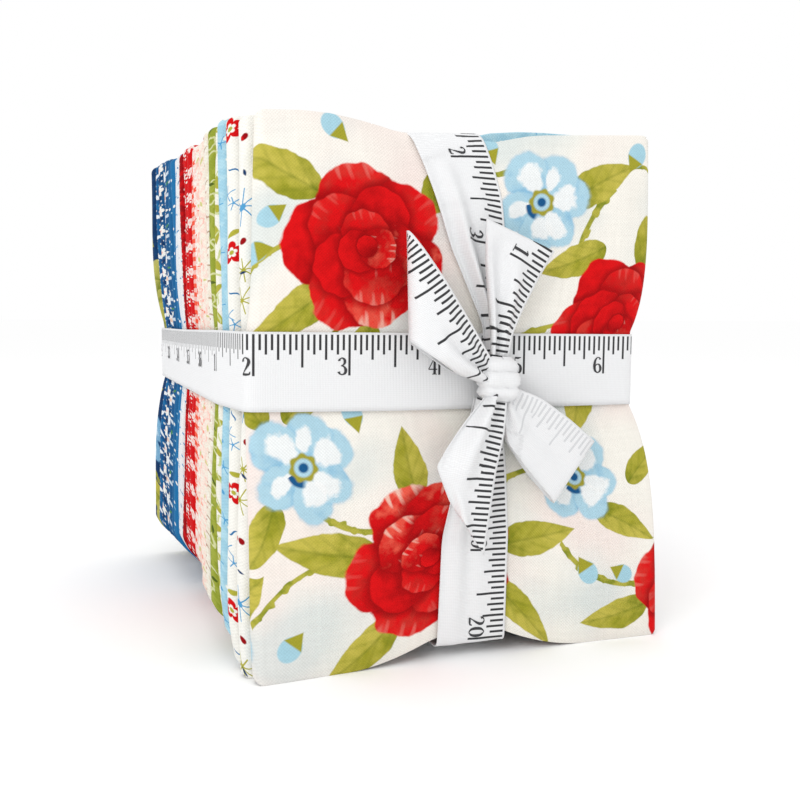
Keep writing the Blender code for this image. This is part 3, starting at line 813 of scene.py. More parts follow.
def puff(x, z):
    """How far the front and the back swell between the bands."""
    rise = z / UPRIGHT_HEIGHT
    beside = fade(np.abs(x - UPRIGHT_TOP_X * rise - UPRIGHT_FOOT_X * (1 - rise)) - PUFF_FROM, PUFF_FADE)
    above = fade(np.maximum(ACROSS_LOW - z, z - ACROSS_HIGH), PUFF_FADE)
    rim = clipped(np.minimum(x + FACE_HALF, FACE_HALF - x) / PUFF_RIM[0])
    ends = clipped(np.minimum(z, FACE_HEIGHT - z) / PUFF_RIM[1])
    return PUFF * (1.0 - beside) * (1.0 - above) * np.sin(rim * math.pi / 2) * np.sin(ends * math.pi / 2)


def raw_ends(rows, column):
    """The rows with both ends doubled, half the cloth's thickness to each side."""
    first, last = list(rows[0]), list(rows[-1])
    for end, inner in ((first, rows[0]), (last, rows[-1])):
        end[column], inner[column] = -CLOTH_THICK / 2, CLOTH_THICK / 2
    return np.array([first] + rows + [last])


def pass_pitch(piece):
    """From the middle of one pass across to the next."""
    return (piece.thick - PIECE_GAP) / PASSES


def across_samples(piece, steps):
    """The folded path across: a row for each sample.

    Columns: share of the way from the left side to the right, offset in x, depth, the printed face's
    direction in x and y, how far the row stays tucked in, and half the cut's thickness at a raw end.
    """
    pitch = pass_pitch(piece)
    depths = [PIECE_GAP / 2 + pitch * (i + 0.5) for i in range(PASSES)]
    middle = piece.thick / 2
    outer, inner, hub, rim = 1.5 * pitch, 0.5 * pitch, 2.0 * pitch, pitch

    def run(depth, facing, forward, tuck, count, ends):
        even = np.linspace(0.0, 1.0, count + 1)
        shares = 0.35 * even + 0.325 * (1.0 - np.cos(math.pi * even))
        shares = shares if forward else shares[::-1]
        rows = [[s, hub * (1 - s) - rim * s, depth, 0.0, facing, tuck, 0.0] for s in shares]
        return rows if ends else rows[1:-1]

    def turn(share, at, centre, radius, start, end, sense, tucks, count):
        rows = []
        for step in range(count + 1):
            angle = math.radians(start + (end - start) * step / count)
            c, s = math.cos(angle), math.sin(angle)
            tuck = tucks[0] + (tucks[1] - tucks[0]) * step / count
            rows.append([share, at + radius * c, centre + radius * s, sense * c, sense * s, tuck, 0.0])
        return rows

    deep = INNER_TUCK
    few = max(8, steps // 2)
    rows = run(depths[3], 1.0, False, 0.0, steps, True)[:-1]
    rows += turn(0.0, hub, middle, outer, 90.0, 270.0, 1.0, (0.0, 0.0), 10)
    rows += run(depths[0], -1.0, True, 0.0, steps, False)
    rows += turn(1.0, -rim, (depths[0] + depths[1]) / 2, inner, -90.0, 90.0, 1.0, (0.0, deep), 4)
    rows += run(depths[1], 1.0, False, deep, few, False)
    rows += turn(0.0, hub, middle, inner, 270.0, 90.0, -1.0, (deep, deep), 4)
    rows += run(depths[2], -1.0, True, deep, few, True)[1:]
    return raw_ends(rows, 6)


def along_samples(piece, height, steps):
    """The folded path up and down: height, offset towards the printed face, and half a cut's thickness."""
    ply = pass_pitch(piece) / PLIES
    offsets = [(1.5 - k) * ply for k in range(PLIES)]
    low, high = 0.5 * ply, height - 1.5 * ply
    few = max(8, steps // 2)

    def run(offset, start, end, count):
        return [[z, offset, 0.0] for z in np.linspace(start, end, count + 1)]

    def turn(centre, z, radius, start, end, count):
        angles = np.radians(np.linspace(start, end, count + 1))[1:-1]
        return [[z + radius * math.sin(a), centre + radius * math.cos(a), 0.0] for a in angles]

    rows = run(offsets[2], low + 1.2, high, few)
    rows += turn(0.0, high, 0.5 * ply, 180.0, 0.0, 4)
    rows += run(offsets[1], high, low, few)
    rows += turn(ply, low, 0.5 * ply, 180.0, 360.0, 4)
    rows += run(offsets[0], low, high, steps)
    rows += turn(0.0, high, 1.5 * ply, 0.0, 180.0, 6)
    rows += run(offsets[3], high, low + 0.8, few)
    return raw_ends(rows, 2)


def arc_length(points):
    steps = np.linalg.norm(np.diff(points, axis=0), axis=1)
    return np.concatenate(([0.0], np.cumsum(steps)))


def unit(vectors):
    return vectors / np.linalg.norm(vectors, axis=-1)[..., None]


def grid_mesh(name, points, uv):
    """A mesh of a grid of points, rows by columns, with its flat place on the cloth in millimetres."""
    count, wide = points.shape[:2]
    placed = (points.reshape(-1, 3) - CENTRE) * MM
    first = np.arange(count - 1)[:, None] * wide + np.arange(wide - 1)[None, :]
    quads = np.stack([first, first + 1, first + wide + 1, first + wide], axis=-1).reshape(-1, 4)
    mesh = bpy.data.meshes.new(name)
    mesh.from_pydata(placed.tolist(), [], quads.tolist())
    flat = uv.reshape(-1, 2)[quads.ravel()]
    mesh.uv_layers.new(name=UV_LAYER).data.foreach_set("uv", flat.ravel())
    mesh.shade_smooth()
    return linked(name, mesh)


# How far the lower left corner of some pieces tapers in, and the height over which it does
FOOT_TAPERS = {0: 0.7, 2: 1.6, 3: 1.5, 4: 1.2}
FOOT_TAPER_HEIGHT = 18.0
# Samples of a sheet's outer passes, across and along
FINE_SAMPLES = (50, 56)
PLAIN_SAMPLES = (16, 34)
# Where the fourth piece's top edge stands up beside the band: along it, how wide and how high
RISE_INDEX = 3
RISE = (11.0, 9.0, 0.9)
# The top edge of the front pieces: x and height
FRONT_PIECES = 3
FRONT_TOP = (
    (-58.0, -44.0, -36.0, -28.5, -22.0, -17.7, -6.0, 2.0, 7.0, 10.5, 15.0, 19.5, 24.0, 31.0, 54.0),
    (144.6, 145.3, 145.1, 144.2, 143.1, 142.2, 141.7, 141.6, 141.1, 140.9, 141.9, 142.8, 143.3, 143.8, 145.1),
)


def side_edges(index, piece, t, height, middle_depth):
    """x of a piece's left and right sides at each height."""
    pull = side_share(t)
    pull_left = side_share(piece.lift + (height - piece.lift) * t / height - 0.9)
    phase = 1.7 * index
    width = WIDTH_FOOT + (WIDTH_TOP - WIDTH_FOOT) * t / height + WIDTH_SPREAD * math.sin(2.3 * index)
    lean = LEAN * np.sin((t - LEAN_LEVEL) / LEAN_HEIGHT * math.pi / 2) * (0.4 + 0.6 * math.exp(-index / 3.0))
    ripple = 0.3 * np.sin(t / 11.0 + phase) + 0.25 * np.sin(t / 23.0 + 2.1 * phase)
    left_free = piece.left + lean + ripple * 0.8 + 0.4 - piece.reach
    left_free = left_free + FOOT_TAPERS.get(index, 0.0) * clipped(1.0 - t / FOOT_TAPER_HEIGHT) ** 2
    right_free = piece.left + width + 0.8 * np.sin(t / 31.0 + phase)
    left_held = max(piece.left - 0.5, np.interp(middle_depth, *LEFT_LINE))
    right_held = min(piece.left + width.mean(), np.interp(middle_depth, *RIGHT_LINE))
    left = left_free * (1.0 - pull_left) + left_held * pull_left
    if index == 0:
        left = left - FRONT_STEP * clipped((FRONT_STEP_TOP - t) / FRONT_STEP_HEIGHT)
    return left, right_free * (1.0 - pull) + right_held * pull


def top_and_foot(index, piece, x, left, right, middle_depth):
    """z of a piece's top edge and of its foot at each place across."""
    reach = (x - piece.left) / (WIDTH_TOP + 3.0)
    top_free = piece.top_left + (piece.top_right - piece.top_left) * reach
    top_free = top_free + 0.25 * np.sin(x / 9.0 + 1.7 * index)
    top_held = np.interp(middle_depth, (0.0, DEPTH), UPRIGHT_TOP_Z)
    top = top_free - np.maximum(0.0, top_free - top_held) * upright_share(x, UPRIGHT_TOP_X)
    if index == RISE_INDEX:
        at, width, rise = RISE
        top = top + rise * np.exp(-((x - at) / width) ** 2)
    if index < FRONT_PIECES:
        top = np.interp(x, *FRONT_TOP) + piece.top_left - ROWS[0][0]
    top = top - corner_drop(x - left, SIDE_CORNER) - corner_drop(right - x, SIDE_CORNER)
    corner = np.maximum(0.0, 1.0 - (x - left) / CORNER_REACH)
    foot = UPRIGHT_FOOT_Z * upright_share(x, UPRIGHT_FOOT_X) + piece.lift * corner ** 2
    return top, foot + corner_drop(x - left, FOOT_CORNER) + corner_drop(right - x, SIDE_CORNER)


def flat_places(piece, across, along):
    """Each sample's place on the flat sheet, which is true to the front face."""
    rest_x = WIDTH_TOP * across[:, 0] + across[:, 1]
    u = arc_length(np.stack([rest_x, across[:, 2]], axis=-1))
    v = arc_length(along[:, :2])
    front_rows = np.where((across[:, 4] == -1.0) & (across[:, 5] == 0.0))[0]
    u += piece.left + rest_x[front_rows[3]] - u[front_rows[3]]
    ply_rows = np.where(along[:, 1] == along[:, 1].max())[0]
    v += along[ply_rows[2], 0] - v[ply_rows[2]]
    return np.stack(np.broadcast_arrays(u[:, None], v[None, :]), axis=-1)


def fold_piece(index, piece, front, detail):
    """A piece's sheet: the path across, each point of it folded along, between the piece's own edges."""
    across = across_samples(piece, detail[0])
    height = piece.top_left
    along = along_samples(piece, height, detail[1])
    share, shift, depth, face_x, face_y, tuck, lip_a = (c[:, None] for c in across.T)
    t, offset, lip_b = (c[None, :] for c in along.T)
    off = offset + lip_a + lip_b
    middle_depth = front + piece.thick / 2
    left, right = side_edges(index, piece, t, height, middle_depth)

    x = left + (right - left) * share + shift + face_x * off
    y = front + depth + face_y * off
    top, foot = top_and_foot(index, piece, x, left, right, middle_depth)
    z = foot + tuck + (top - foot - 2.0 * tuck) * t / height

    swell = puff(x, z) * (1.0 - 2.0 * y / DEPTH)
    y = y - swell + crease_depth(x, z) * fade(y, FRONT_DEPTH)
    y = y + top_lean(z) * upright_share(x, UPRIGHT_TOP_X) * fade(y, FRONT_DEPTH)
    flare = clipped(1.0 - z / FLARE_HEIGHT) ** 2 * clipped(1.0 - (x - left) / FLARE_WIDTH)
    y = y - FLARE * flare * fade(y, FLARE_DEPTH)
    points = np.stack(np.broadcast_arrays(x, y, z), axis=-1)
    return grid_mesh(f"cloth_{index + 1:02d}", points, flat_places(piece, across, along))


def cloth_stack():
    """All the pieces, front to back; the two outer ones, whose faces show, are made finer."""
    front = 0.0
    made = []
    for index, piece in enumerate(PIECES):
        outer = index in (0, len(PIECES) - 1)
        obj = fold_piece(index, piece, front, FINE_SAMPLES if outer else PLAIN_SAMPLES)
        look = LARGE_PRINTS.get(piece.print)
        # The middle of the left fold, laid flat
        fold = piece.left + (2.0 - 0.75 * math.pi) * pass_pitch(piece)
        obj.data.materials.append(look() if look else small_print(piece.print, fold))
        dress(obj, piece.node, f"cotton_{index + 1:02d}")
        made.append(obj)
        front += piece.thick
    for index, obj in enumerate(made):
        neighbours = [made[i] for i in (index - 1, index + 1) if 0 <= i < len(made)]
    return made


cloths = cloth_stack()


# ======== The ribbon ========
INCH = 24.9                 # one printed inch, as the ribbon's own scale comes out
SIXTEENTH = INCH / 16.0
MARGIN = 0.6                # plain edge before the marks
SHORT_MARK = 4.0
LONGER_MARKS = ((2.0, 1.1), (4.0, 1.35), (8.0, 1.95), (16.0, 2.1))   # each so many sixteenths, so much more
HALF_MARK = 0.32            # half a mark's width
RIB_REPEAT = 0.42
THREAD_REPEAT = 0.5
YARD = 36                   # the printed numbers start again after a yard
UPRIGHT_ASKEW = 0.28        # how far the front of the upright band's print is drawn askew
FIGURE_WIDE = 4.9
FIGURE_TALL = 4.6
FIGURE_FOOT = MARGIN + 10.4     # from the ribbon's edge to a figure's foot
FIGURE_SHORT = 0.5          # how far a number stops short of its mark
FIGURE_EDGE = 0.56          # the last figure's right edge, in shares of its size
FIGURE_STEP = 0.62          # from one figure to the next, in the same shares
INK_LIFT = 0.1
RIBBON_SKIN = 0.65          # from the cloth to the middle of a band's sheet
INK_COLOUR = (0.025, 0.025, 0.028)
FAINT = (0.45, 0.46, 0.48)  # the marks as they show through to the back


def ribbon_look(name, colour, strength):
    """Woven ribbon with marks at each sixteenth along one edge, longer at the eighths up to the inches."""
    canvas = Canvas(name, (0.85, 0.855, 0.865), Roughness=0.55, Specular_IOR_Level=0.3, Sheen_Weight=0.1)
    u, v = canvas.split(canvas.at)
    step = u * (1.0 / SIXTEENTH)
    whole = step.round()
    reach = MARGIN + SHORT_MARK
    for every, longer in LONGER_MARKS:
        reach = ((whole + 0.25) % every).below(0.5) * longer + reach
    beside = ((step - whole).abs() * SIXTEENTH).within(HALF_MARK, 0.05)
    ends = v.ramp(MARGIN - 0.06, MARGIN + 0.06) * (reach - v).ramp(-0.08, 0.08)
    canvas.ink(colour, beside * ends * strength)
    ribs = (u * (TAU / RIB_REPEAT)).sin()
    threads = (v * (TAU / THREAD_REPEAT)).sin()
    # The tone follows the ribs and threads of the bump: painted shade in their hollows and painted highlight
    # on their crests.
    return canvas.shade(ribs * 0.035 + threads * 0.015 + 0.88, ribs * 0.8 + threads * 0.3, 0.5, 0.06)


PRINTED = ribbon_look("ribbon_printed", INK_COLOUR, 1.0)
REVERSE = ribbon_look("ribbon_reverse", FAINT, 0.45)
INK = new_look("ribbon_ink", Base_Color=(*INK_COLOUR, 1.0), Roughness=0.6)


def smoothed(rows, passes):
    """The rows rounded off, their ends kept."""
    for _ in range(passes):
        rows[1:-1] = rows[1:-1] * 0.5 + (rows[:-2] + rows[2:]) * 0.25
    return rows


def evened(rows, step, passes):
    """Rows of numbers set out evenly along a path and rounded off; the first six are its two edges."""
    rows = np.array(rows, dtype=float)
    far = arc_length((rows[:, :3] + rows[:, 3:6]) / 2)
    at = np.linspace(0.0, far[-1], max(5, int(round(far[-1] / step)) + 1))
    return smoothed(np.stack([np.interp(at, far, column) for column in rows.T], axis=-1), passes)


class Strip:
    """A length of ribbon, from rows for its course.

    A row holds the marked edge, the plain edge, how far the middle stands out between them, and how far
    the print is drawn askew. mark is a point of the marked edge and the inches printed there. Where the
    two edges are closer than the ribbon is wide, the spare width lies in folds along it: folds is how
    many, phase where the first starts, and gather how deep they are.
    """

    def __init__(self, name, rows, mark, step=0.8, passes=6, wide=20, folds=0.0, phase=0.0, gather=1.0):
        rows = evened(rows, step, passes)
        edge, plain, crown = rows[:, :3], rows[:, 3:6], rows[:, 6]
        across = plain - edge
        width = np.linalg.norm(across, axis=1)
        out = unit(np.cross(across, unit(np.gradient((edge + plain) / 2, axis=0))))
        share = np.linspace(0.0, 1.0, wide + 1)[None, :]
        lift = crown[:, None] * 4.0 * share * (1.0 - share)
        if folds:
            spare = np.sqrt(np.clip(RIBBON_WIDTH / width - 1.0, 0.0, 1.2)) * gather
            size = (width * spare / (math.pi * folds))[:, None]
            lean = np.linspace(0.0, 1.2, len(rows))[:, None]
            weight = np.clip(share / 0.55 - 0.25, 0.12, 1.0) ** 1.2 * np.sin(math.pi * share) ** 0.35
            lift = lift + 1.3 * size * (np.cos(TAU * folds * share + phase + lean) + 0.5) * weight
        self.points = edge[:, None] + across[:, None] * share[..., None] + out[:, None] * lift[..., None]
        along, sideways = np.gradient(self.points, axis=(0, 1))
        self.normals = unit(np.cross(sideways, along))
        self.length = arc_length((edge + plain) / 2)[-1]
        far = arc_length(edge)
        far += mark[1] * INCH - far[int(np.argmin(np.linalg.norm(edge - np.array(mark[0]), axis=1)))]
        ahead = unit(np.gradient(edge, axis=0))
        self.flat = np.empty((len(rows), wide + 1, 2))
        for j in range(wide + 1):
            place = edge + across * share[0, j]
            gap = place[:, None, :] - edge[None, :, :]
            nearest = np.argmin(np.sum(gap ** 2, axis=2), axis=1)
            gap = gap[np.arange(len(rows)), nearest]
            past = np.sum(gap * ahead[nearest], axis=1)
            self.flat[:, j, 1] = np.sqrt(np.maximum(np.sum(gap ** 2, axis=1) - past ** 2, 0.0))
            self.flat[:, j, 0] = far[nearest] + past + rows[nearest, 7] * self.flat[:, j, 1]
        self.obj = grid_mesh(name, self.points, self.flat)
        self.obj.data.materials.append(PRINTED)
        self.obj.data.materials.append(REVERSE)
        thick = self.obj.modifiers.new("thickness", "SOLIDIFY")
        thick.thickness = RIBBON_SHEET * MM
        thick.offset = 0.0
        thick.material_offset = 1

    def at(self, u, v, lift):
        """A point of the ribbon at a place along and across it, raised off its printed face."""
        rows = np.arange(len(self.flat))
        line = []
        for j in range(self.flat.shape[1]):
            row = np.interp(u, self.flat[:, j, 0], rows)
            known = (self.flat[:, j, 1:], self.points[:, j], self.normals[:, j])
            line.append(np.concatenate([[np.interp(row, rows, c) for c in part.T] for part in known]))
        line = np.array(line)
        place = np.array([np.interp(v, line[:, 0], column) for column in line[:, 1:].T])
        return place[:3] + place[3:] / np.linalg.norm(place[3:]) * lift

    def place(self, node, held, numbers=(), rests_on=()):
        dress(self.obj, node, "ribbon_white")
        extra = [print_numbers(self, numbers)] if numbers else []


# A plain figure as strokes: x, y and half the width at points along each, in hundredths of its height.
FIGURES = {
    "0": (((28, 100, 2), (10, 82, 7), (6, 50, 8.5), (10, 18, 7), (28, 0, 2), (46, 18, 7), (50, 50, 8.5),
         (46, 82, 7), (28, 100, 2)),),
    "1": (((8, 82, 2), (18, 90, 4), (26, 99, 3)), ((26, 98, 7.5), (26, 3, 7.5)), ((6, 2, 2.5),
         (46, 2, 2.5))),
    "2": (((10, 76, 8.5), (7, 82, 6), (14, 95, 3), (28, 98.5, 3), (43, 88, 7), (44, 70, 8.5), (34, 48, 6),
         (18, 24, 3), (6, 4, 2.5)), ((6, 6, 6), (28, 6, 6.5), (46, 7, 5), (50, 22, 2))),
    "3": (((10, 80, 8), (10, 86, 5), (24, 98.5, 2.5), (40, 88, 7), (41, 70, 7.5), (32, 56, 3), (20, 53, 2)),
         ((20, 53, 2), (36, 49, 4), (47, 32, 8.5), (44, 12, 7.5), (26, 1, 2.5), (10, 10, 5), (8, 20, 8))),
    "4": (((38, 100, 6), (38, 2, 7.5)), ((38, 98, 2), (4, 32, 2.5)), ((3, 30, 3), (54, 30, 3)), ((24, 2, 2),
         (52, 2, 2))),
    "5": (((10, 96, 5), (30, 94, 6), (46, 98, 2)), ((10, 96, 2), (9, 54, 2)), ((9, 54, 2), (26, 62, 3),
         (44, 48, 7), (47, 28, 8.5), (40, 8, 6), (24, 1, 2.5), (10, 10, 5), (8, 19, 8))),
    "6": (((44, 84, 7), (40, 94, 4), (28, 99, 2), (13, 84, 6), (6, 50, 8.5), (10, 16, 7.5), (28, 1, 2.5),
         (45, 14, 6), (48, 32, 8), (42, 50, 6), (28, 58, 2.5), (14, 48, 3), (9, 36, 2)),),
    "7": (((7, 80, 2), (9, 95, 6), (28, 93, 6.5), (50, 95, 3)), ((49, 94, 2), (36, 62, 4), (26, 30, 7),
         (24, 2, 8))),
    "8": (((28, 100, 2.5), (11, 90, 6), (10, 74, 6), (26, 54, 7), (44, 36, 7.5), (46, 14, 7), (28, 0, 2.5),
         (10, 12, 6), (9, 30, 5), (28, 52, 2.5), (43, 68, 5), (44, 88, 5), (28, 100, 2.5)),),
    "9": (((12, 16, 7), (16, 6, 4), (28, 1, 2), (43, 16, 6), (50, 50, 8.5), (46, 84, 7.5), (28, 99, 2.5),
         (11, 86, 6), (8, 68, 8), (14, 50, 6), (28, 42, 2.5), (42, 52, 3), (47, 64, 2)),),
}


def numeral_shape(text):
    """A plain number as flat triangles 1 tall, its lower right corner at the origin."""
    points, triangles = [], []
    for place, figure in enumerate(reversed(text)):
        for stroke in FIGURES[figure]:
            line = np.array(stroke) / 100.0
            at = np.linspace(0.0, len(line) - 1.0, 6 * len(line))
            line = np.stack([np.interp(at, np.arange(len(line)), c) for c in line.T], axis=-1)
            if len(stroke) > 2:
                line = smoothed(line, 6)
            way = unit(np.gradient(line[:, :2], axis=0))
            side = np.stack([-way[:, 1], way[:, 0]], axis=-1) * line[:, 2:]
            start = len(points)
            for three in zip(line[:, :2] + side, line[:, :2], line[:, :2] - side):
                points += [p - (FIGURE_EDGE + FIGURE_STEP * place, 0.0) for p in three]
            for k in range(start, start + 3 * len(line) - 3, 3):
                for m in (k, k + 1):
                    triangles += [(m, m + 1, m + 4), (m, m + 4, m + 3)]
    return np.array(points), triangles


def print_numbers(strip, numbers):
    """Numbers beside the inch marks of a strip, as thin ink that follows it."""
    points, faces = [], []
    for number in numbers:
        shape, triangles = numeral_shape(str((number - 1) % YARD + 1))
        start = len(points)
        for x, y in shape:
            place = strip.at(number * INCH - FIGURE_SHORT + x * FIGURE_WIDE, FIGURE_FOOT - y * FIGURE_TALL,
                             RIBBON_SHEET / 2 + INK_LIFT)
            points.append(tuple((place - CENTRE) * MM))
        faces += [(a + start, c + start, b + start) for a, b, c in triangles]
    mesh = bpy.data.meshes.new(f"{strip.obj.name}_numbers")
    mesh.from_pydata(points, [], faces)
    mesh.materials.append(INK)
    obj = linked(mesh.name, mesh)
    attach(obj, "root")
    return obj


def band_across():
    """Round the sides from the middle of the back, where the upright band covers its ends."""
    back = DEPTH + RIBBON_SKIN
    left_front, left_mid, left_back = LEFT_LINE[1]
    right_front, right_back = RIGHT_LINE[1]
    # x, y, rise of the marked edge, rise of the plain edge
    path = [
        (-2.8, back, 0, 0), (left_back - RIBBON_SKIN, back, -0.5, 1.3),
        ((left_back + left_mid) / 2 - RIBBON_SKIN, (DEPTH + LEFT_LINE[0][1]) / 2, -0.1, 1.1),
        (left_mid - RIBBON_SKIN, LEFT_LINE[0][1], 0.8, 0.95),
        (left_front - RIBBON_SKIN, -RIBBON_SKIN, 0.75, 0.8), (-20.0, -RIBBON_SKIN, 0.4, 0.1),
        (right_front + RIBBON_SKIN, -RIBBON_SKIN, -0.25, 0), (right_back + RIBBON_SKIN, back, 0, 0),
        (-3.0, back, 0, 0),
    ]
    rows = [(x, y, ACROSS_HIGH + high, x, y, ACROSS_LOW + low, 0.0, 0.0) for x, y, high, low in path]
    mark = ((-56.1, -RIBBON_SKIN, ACROSS_HIGH), 2)
    strip = Strip("ribbon_across", rows, mark, step=1.0, passes=8, wide=12)
    strip.place("ribbon_band_across", "stretched", range(-7, 14), cloths)


def band_upright():
    """From the knot up over the top, down the back, under the foot and up to the knot again."""
    skin = RIBBON_SKIN
    over = skin + 0.8
    top_front, top_back = UPRIGHT_TOP_Z
    back = DEPTH + skin
    foot = FOOT_BAND_Z - 0.5
    # y, z, x of the marked edge, x of the plain edge, and how much lower the plain edge is where it is
    path = [
        (-over - 1.6, 83.0, 11.6, 4.6), (-over - 0.2, 91.5, 12.2, 5.6), (-skin - 0.3, 100.6, 12.4, 1.8),
        (-skin, 112.6, 12.2, -3.6), (-skin, 120.0, 11.8, -6.0), (top_lean(126.0) - skin, 126.0, 11.2, -8.0),
        (top_lean(134.0) - skin, 134.0, 9.2, -10.9), (top_lean(141.0) - skin, 142.0, 6.6, -14.0, 0.5),
        (5.0, top_front + skin + 0.9, 5.4, -15.6, 1.1), (14.0, top_front + skin + 0.75, 4.9, -15.8, 0.7),
        (24.0, top_front + skin + 1.3, 4.7, -16.0, 0.4),
        (DEPTH / 2, (top_front + top_back) / 2 + skin, 3.6, -16.5), (back, top_back + skin, 2.1, -18.1),
        (back, 96.0, 6.4, -13.6), (back + 0.8, 91.0, 6.6, -13.4), (back + 0.8, 67.6, 8.0, -12.0),
        (back, 62.6, 8.2, -11.8), (back, foot, 13.2, -6.9), (DEPTH / 2, foot, 13.4, -6.8),
        (-skin, foot, 13.5, -6.7), (-skin, 34.0, 14.2, -5.4), (-skin, 54.0, 13.2, -0.4),
        (-over, 65.0, 11.6, 1.6), (-over - 1.4, 72.5, 10.6, 2.8),
    ]
    rows = [(a, y, z, b, y, z - sum(drop), 0.0, UPRIGHT_ASKEW * (z > ACROSS_HIGH + 5.0 and y < 6.0))
            for y, z, a, b, *drop in path[::-1]]
    strip = Strip("ribbon_upright", rows, ((6.0, -skin, 136.0), 2), passes=8, wide=36, folds=2.5, phase=0.4,
                  gather=1.3)
    strip.place("ribbon_band_upright", "stretched", range(-18, 4), cloths)


# y of the middle, x and z of the plain edge, x and z of the marked edge, how far the middle stands out
TAIL_UPPER = (
    (-7.2, 3.7, 119.6, 23.7, 111.6, 0.2), (-5.6, 4.2, 109.4, 19.8, 104.2, 0.7),
    (-6.0, 4.9, 98.0, 15.2, 96.2, 0.9), (-6.6, 5.6, 88.6, 11.8, 89.2, 0.5),
    (-6.4, 5.6, 81.6, 10.6, 81.4, 0.0),
)
TAIL_LOWER = (
    (-7.6, 4.2, 73.6, 10.2, 73.2, 0.0), (-9.4, -2.8, 66.6, 8.5, 63.0, 0.6),
    (-10.2, -7.7, 60.6, 5.9, 53.4, 0.9), (-9.8, -10.8, 55.3, 4.5, 42.0, 0.6),
    (-9.2, -6.8, 46.1, 3.2, 31.0, 0.2),
)
LOOP_UPPER = (
    (-4.2, 4.0, 76.8, 6.2, 80.9, 0.0), (-3.8, -4.6, 79.6, -2.6, 92.6, 0.0),
    (-3.9, -11.0, 83.6, -10.6, 105.0, 0.0), (-5.0, -16.4, 87.0, -17.0, 114.4, 0.0),
    (-7.0, -17.6, 87.6, -18.5, 116.0, 0.0), (-9.2, -17.4, 87.4, -18.2, 115.6, 0.0),
    (-10.9, -15.8, 86.0, -15.6, 112.0, 0.5), (-11.6, -11.2, 83.0, -9.4, 103.4, 1.0),
    (-10.4, -5.2, 79.2, -1.6, 92.2, 0.9), (-8.2, 3.4, 76.4, 6.4, 81.0, 0.0),
)
# The same, with the marked edge first
LOOP_LOWER = (
    (-3.9, 12.2, 75.0, 9.6, 71.0, 0.0), (-3.7, 20.4, 71.6, 11.4, 60.8, 0.0),
    (-3.7, 29.0, 66.0, 17.4, 52.2, 0.0), (-4.1, 36.6, 60.4, 24.4, 44.2, 0.0),
    (-5.4, 38.0, 59.4, 25.7, 42.6, 0.0), (-6.9, 37.6, 59.6, 25.4, 43.0, 0.0),
    (-7.8, 35.6, 61.0, 23.2, 45.4, 0.6), (-8.0, 28.8, 66.4, 17.0, 52.4, 1.0),
    (-7.2, 20.6, 72.2, 10.6, 60.6, 0.7), (-6.8, 12.3, 75.4, 9.4, 71.0, 0.0),
)
# Name, solid, stations, whether they are marked edge first, its mark, how it is held, its numbers, settings
BOW = (
    ("tail_upper", "bow_tail_upper", TAIL_UPPER, False, ((20.6, -5.8, 105.6), 1), "gathered", (1,),
     {"passes": 3, "folds": 1.5, "phase": 2.2}),
    ("tail_lower", "bow_tail_lower", TAIL_LOWER, False, ((9.0, -9.4, 63.6), 30), "gathered", (),
     {"passes": 3, "folds": 1.5}),
    ("loop_upper", "bow_loop_upper", LOOP_UPPER, False, ((-9.4, -11.6, 103.4), 11.5), "folded", (),
     {"passes": 4, "folds": 2.0, "phase": 1.0}),
    ("loop_lower", "bow_loop_lower", LOOP_LOWER, True, ((28.8, -8.0, 66.4), 34.5), "folded", (),
     {"passes": 4, "folds": 2.0, "gather": 0.5}),
)


def bow():
    for name, node, stations, marked_first, mark, way_held, numbers, settings in BOW:
        rows = []
        for y, ax, az, bx, bz, crown in stations:
            edges = ((ax, y, az), (bx, y, bz)) if marked_first else ((bx, y, bz), (ax, y, az))
            rows.append((*edges[0], *edges[1], crown, 0.0))
        Strip(name, rows, mark, **settings).place(node, way_held, numbers, ["bow_knot"])


KNOT_MIDDLE = (8.0, -5.8, 77.8)
KNOT_HALF = (5.5, 4.9, 5.9)     # half its size across, in depth and in height
KNOT_TURNS = (-205.0, 25.0)     # degrees that the wrap covers, open at the back
KNOT_SAMPLES = (47, 41)


def knot():
    """The middle of the bow: the ribbon gathered to three soft rolls and wrapped round the rest."""
    turns = np.radians(np.linspace(*KNOT_TURNS, KNOT_SAMPLES[0]))[:, None]
    share = np.linspace(0.0, 1.0, KNOT_SAMPLES[1])[None, :]
    level = 1.0 - 2.0 * share
    closing = np.maximum((1.0 - np.abs(level) ** 3.2) ** 0.5, 0.42)
    rolls = share + 0.035 * np.cos(turns) + 0.06 * share * (1 - share)
    rise = np.abs(np.sin(math.pi * (3.0 * rolls ** 1.12))) ** 0.45
    pleats = np.cos(TAU * 11.0 * share + 2.0 * np.sin(2.0 * turns)) * np.abs(np.cos(turns)) ** 2
    bulge = 1.1 * rise - 0.95 + 0.22 * np.sin(turns * 3.0 + 5.0 * share) + 0.13 * pleats
    c, s = np.cos(turns), np.sin(turns)
    square = (np.abs(c) ** 3 + np.abs(s) ** 3) ** (-1 / 3)
    x = KNOT_MIDDLE[0] + (KNOT_HALF[0] + bulge) * square * c * (0.55 + 0.45 * closing)
    y = KNOT_MIDDLE[1] + (KNOT_HALF[1] + bulge) * square * s * (0.45 + 0.55 * closing)
    z = KNOT_MIDDLE[2] + KNOT_HALF[2] * np.sign(level) * np.abs(level) ** 0.9 - 0.5 * c
    points = np.stack(np.broadcast_arrays(x, y, z), axis=-1)
    around = arc_length(points[:, KNOT_SAMPLES[1] // 2])
    uv = np.stack(np.broadcast_arrays(around[:, None] + 7.3 * INCH, 6.0 + 14.2 * share), axis=-1)
    obj = grid_mesh("knot_wrap", points, uv)
    obj.data.materials.append(REVERSE)
    dress(obj, "bow_knot", "ribbon_white")


band_across()
band_upright()
bow()
knot()


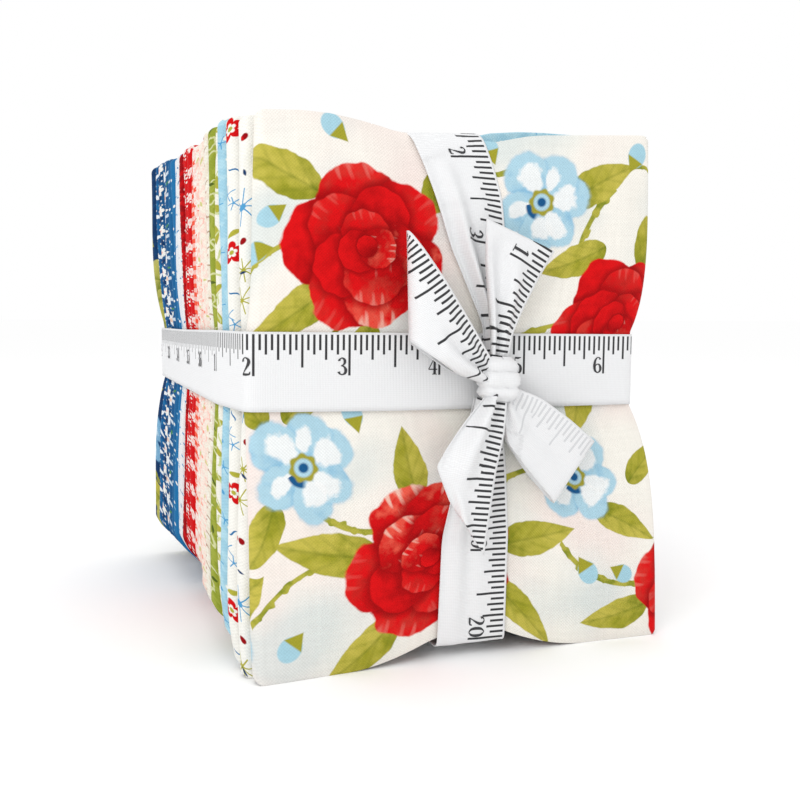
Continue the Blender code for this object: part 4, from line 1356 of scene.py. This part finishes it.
# ======== Stage ========
def camera():
    yaw, pitch, roll = (math.radians(a) for a in (CAMERA_YAW, CAMERA_PITCH, CAMERA_ROLL))
    ahead = Vector((math.sin(yaw) * math.cos(pitch), math.cos(yaw) * math.cos(pitch), math.sin(pitch)))
    right = Vector((math.cos(yaw), -math.sin(yaw), 0.0))
    up = right.cross(ahead)
    turned_right = right * math.cos(roll) + up * math.sin(roll)
    turned_up = up * math.cos(roll) - right * math.sin(roll)
    matrix = Matrix((turned_right, turned_up, -ahead)).transposed().to_4x4()
    matrix.translation = (Vector(CAMERA_AT) - Vector(CENTRE)) * MM
    obj = linked("camera", bpy.data.cameras.new("camera"))
    obj.matrix_world = matrix
    obj.data.sensor_width = SENSOR
    obj.data.lens = FOCAL_PIXELS / PICTURE_PIXELS * SENSOR
    obj.data.clip_start = CAMERA_NEAR
    bpy.context.scene.camera = obj


def floor():
    mesh = bpy.data.meshes.new("floor")
    corners = [(x * FLOOR_HALF, y * FLOOR_HALF, 0) for x, y in ((-1, -1), (1, -1), (1, 1), (-1, 1))]
    mesh.from_pydata(corners, [], [(0, 1, 2, 3)])
    mesh.materials.append(new_look("floor", Base_Color=(0.99, 0.99, 0.99, 1.0), Roughness=0.9,
                                   Specular_IOR_Level=0.0))
    linked("floor", mesh)


def area_light(name, at, target, size, watts):
    data = bpy.data.lights.new(name, "AREA")
    data.shape = "SQUARE"
    data.size = size
    data.energy = watts
    obj = linked(name, data)
    obj.location = at
    obj.rotation_euler = (Vector(target) - Vector(at)).to_track_quat("-Z", "Y").to_euler()


def lights():
    world = bpy.data.worlds.new("studio")
    world.use_nodes = True
    background = world.node_tree.nodes["Background"]
    background.inputs["Color"].default_value = (1.0, 1.0, 1.0, 1.0)
    background.inputs["Strength"].default_value = 1.0
    bpy.context.scene.world = world
    area_light("key", (-0.46, -0.50, 0.44), (0.0, -0.05, 0.07), 0.3, 1.4)
    area_light("top", (0.0, 0.2, 1.1), (0.0, 0.0, 0.07), 0.9, 1.2)
    bpy.context.scene.view_settings.view_transform = "Standard"


camera()
floor()
lights()
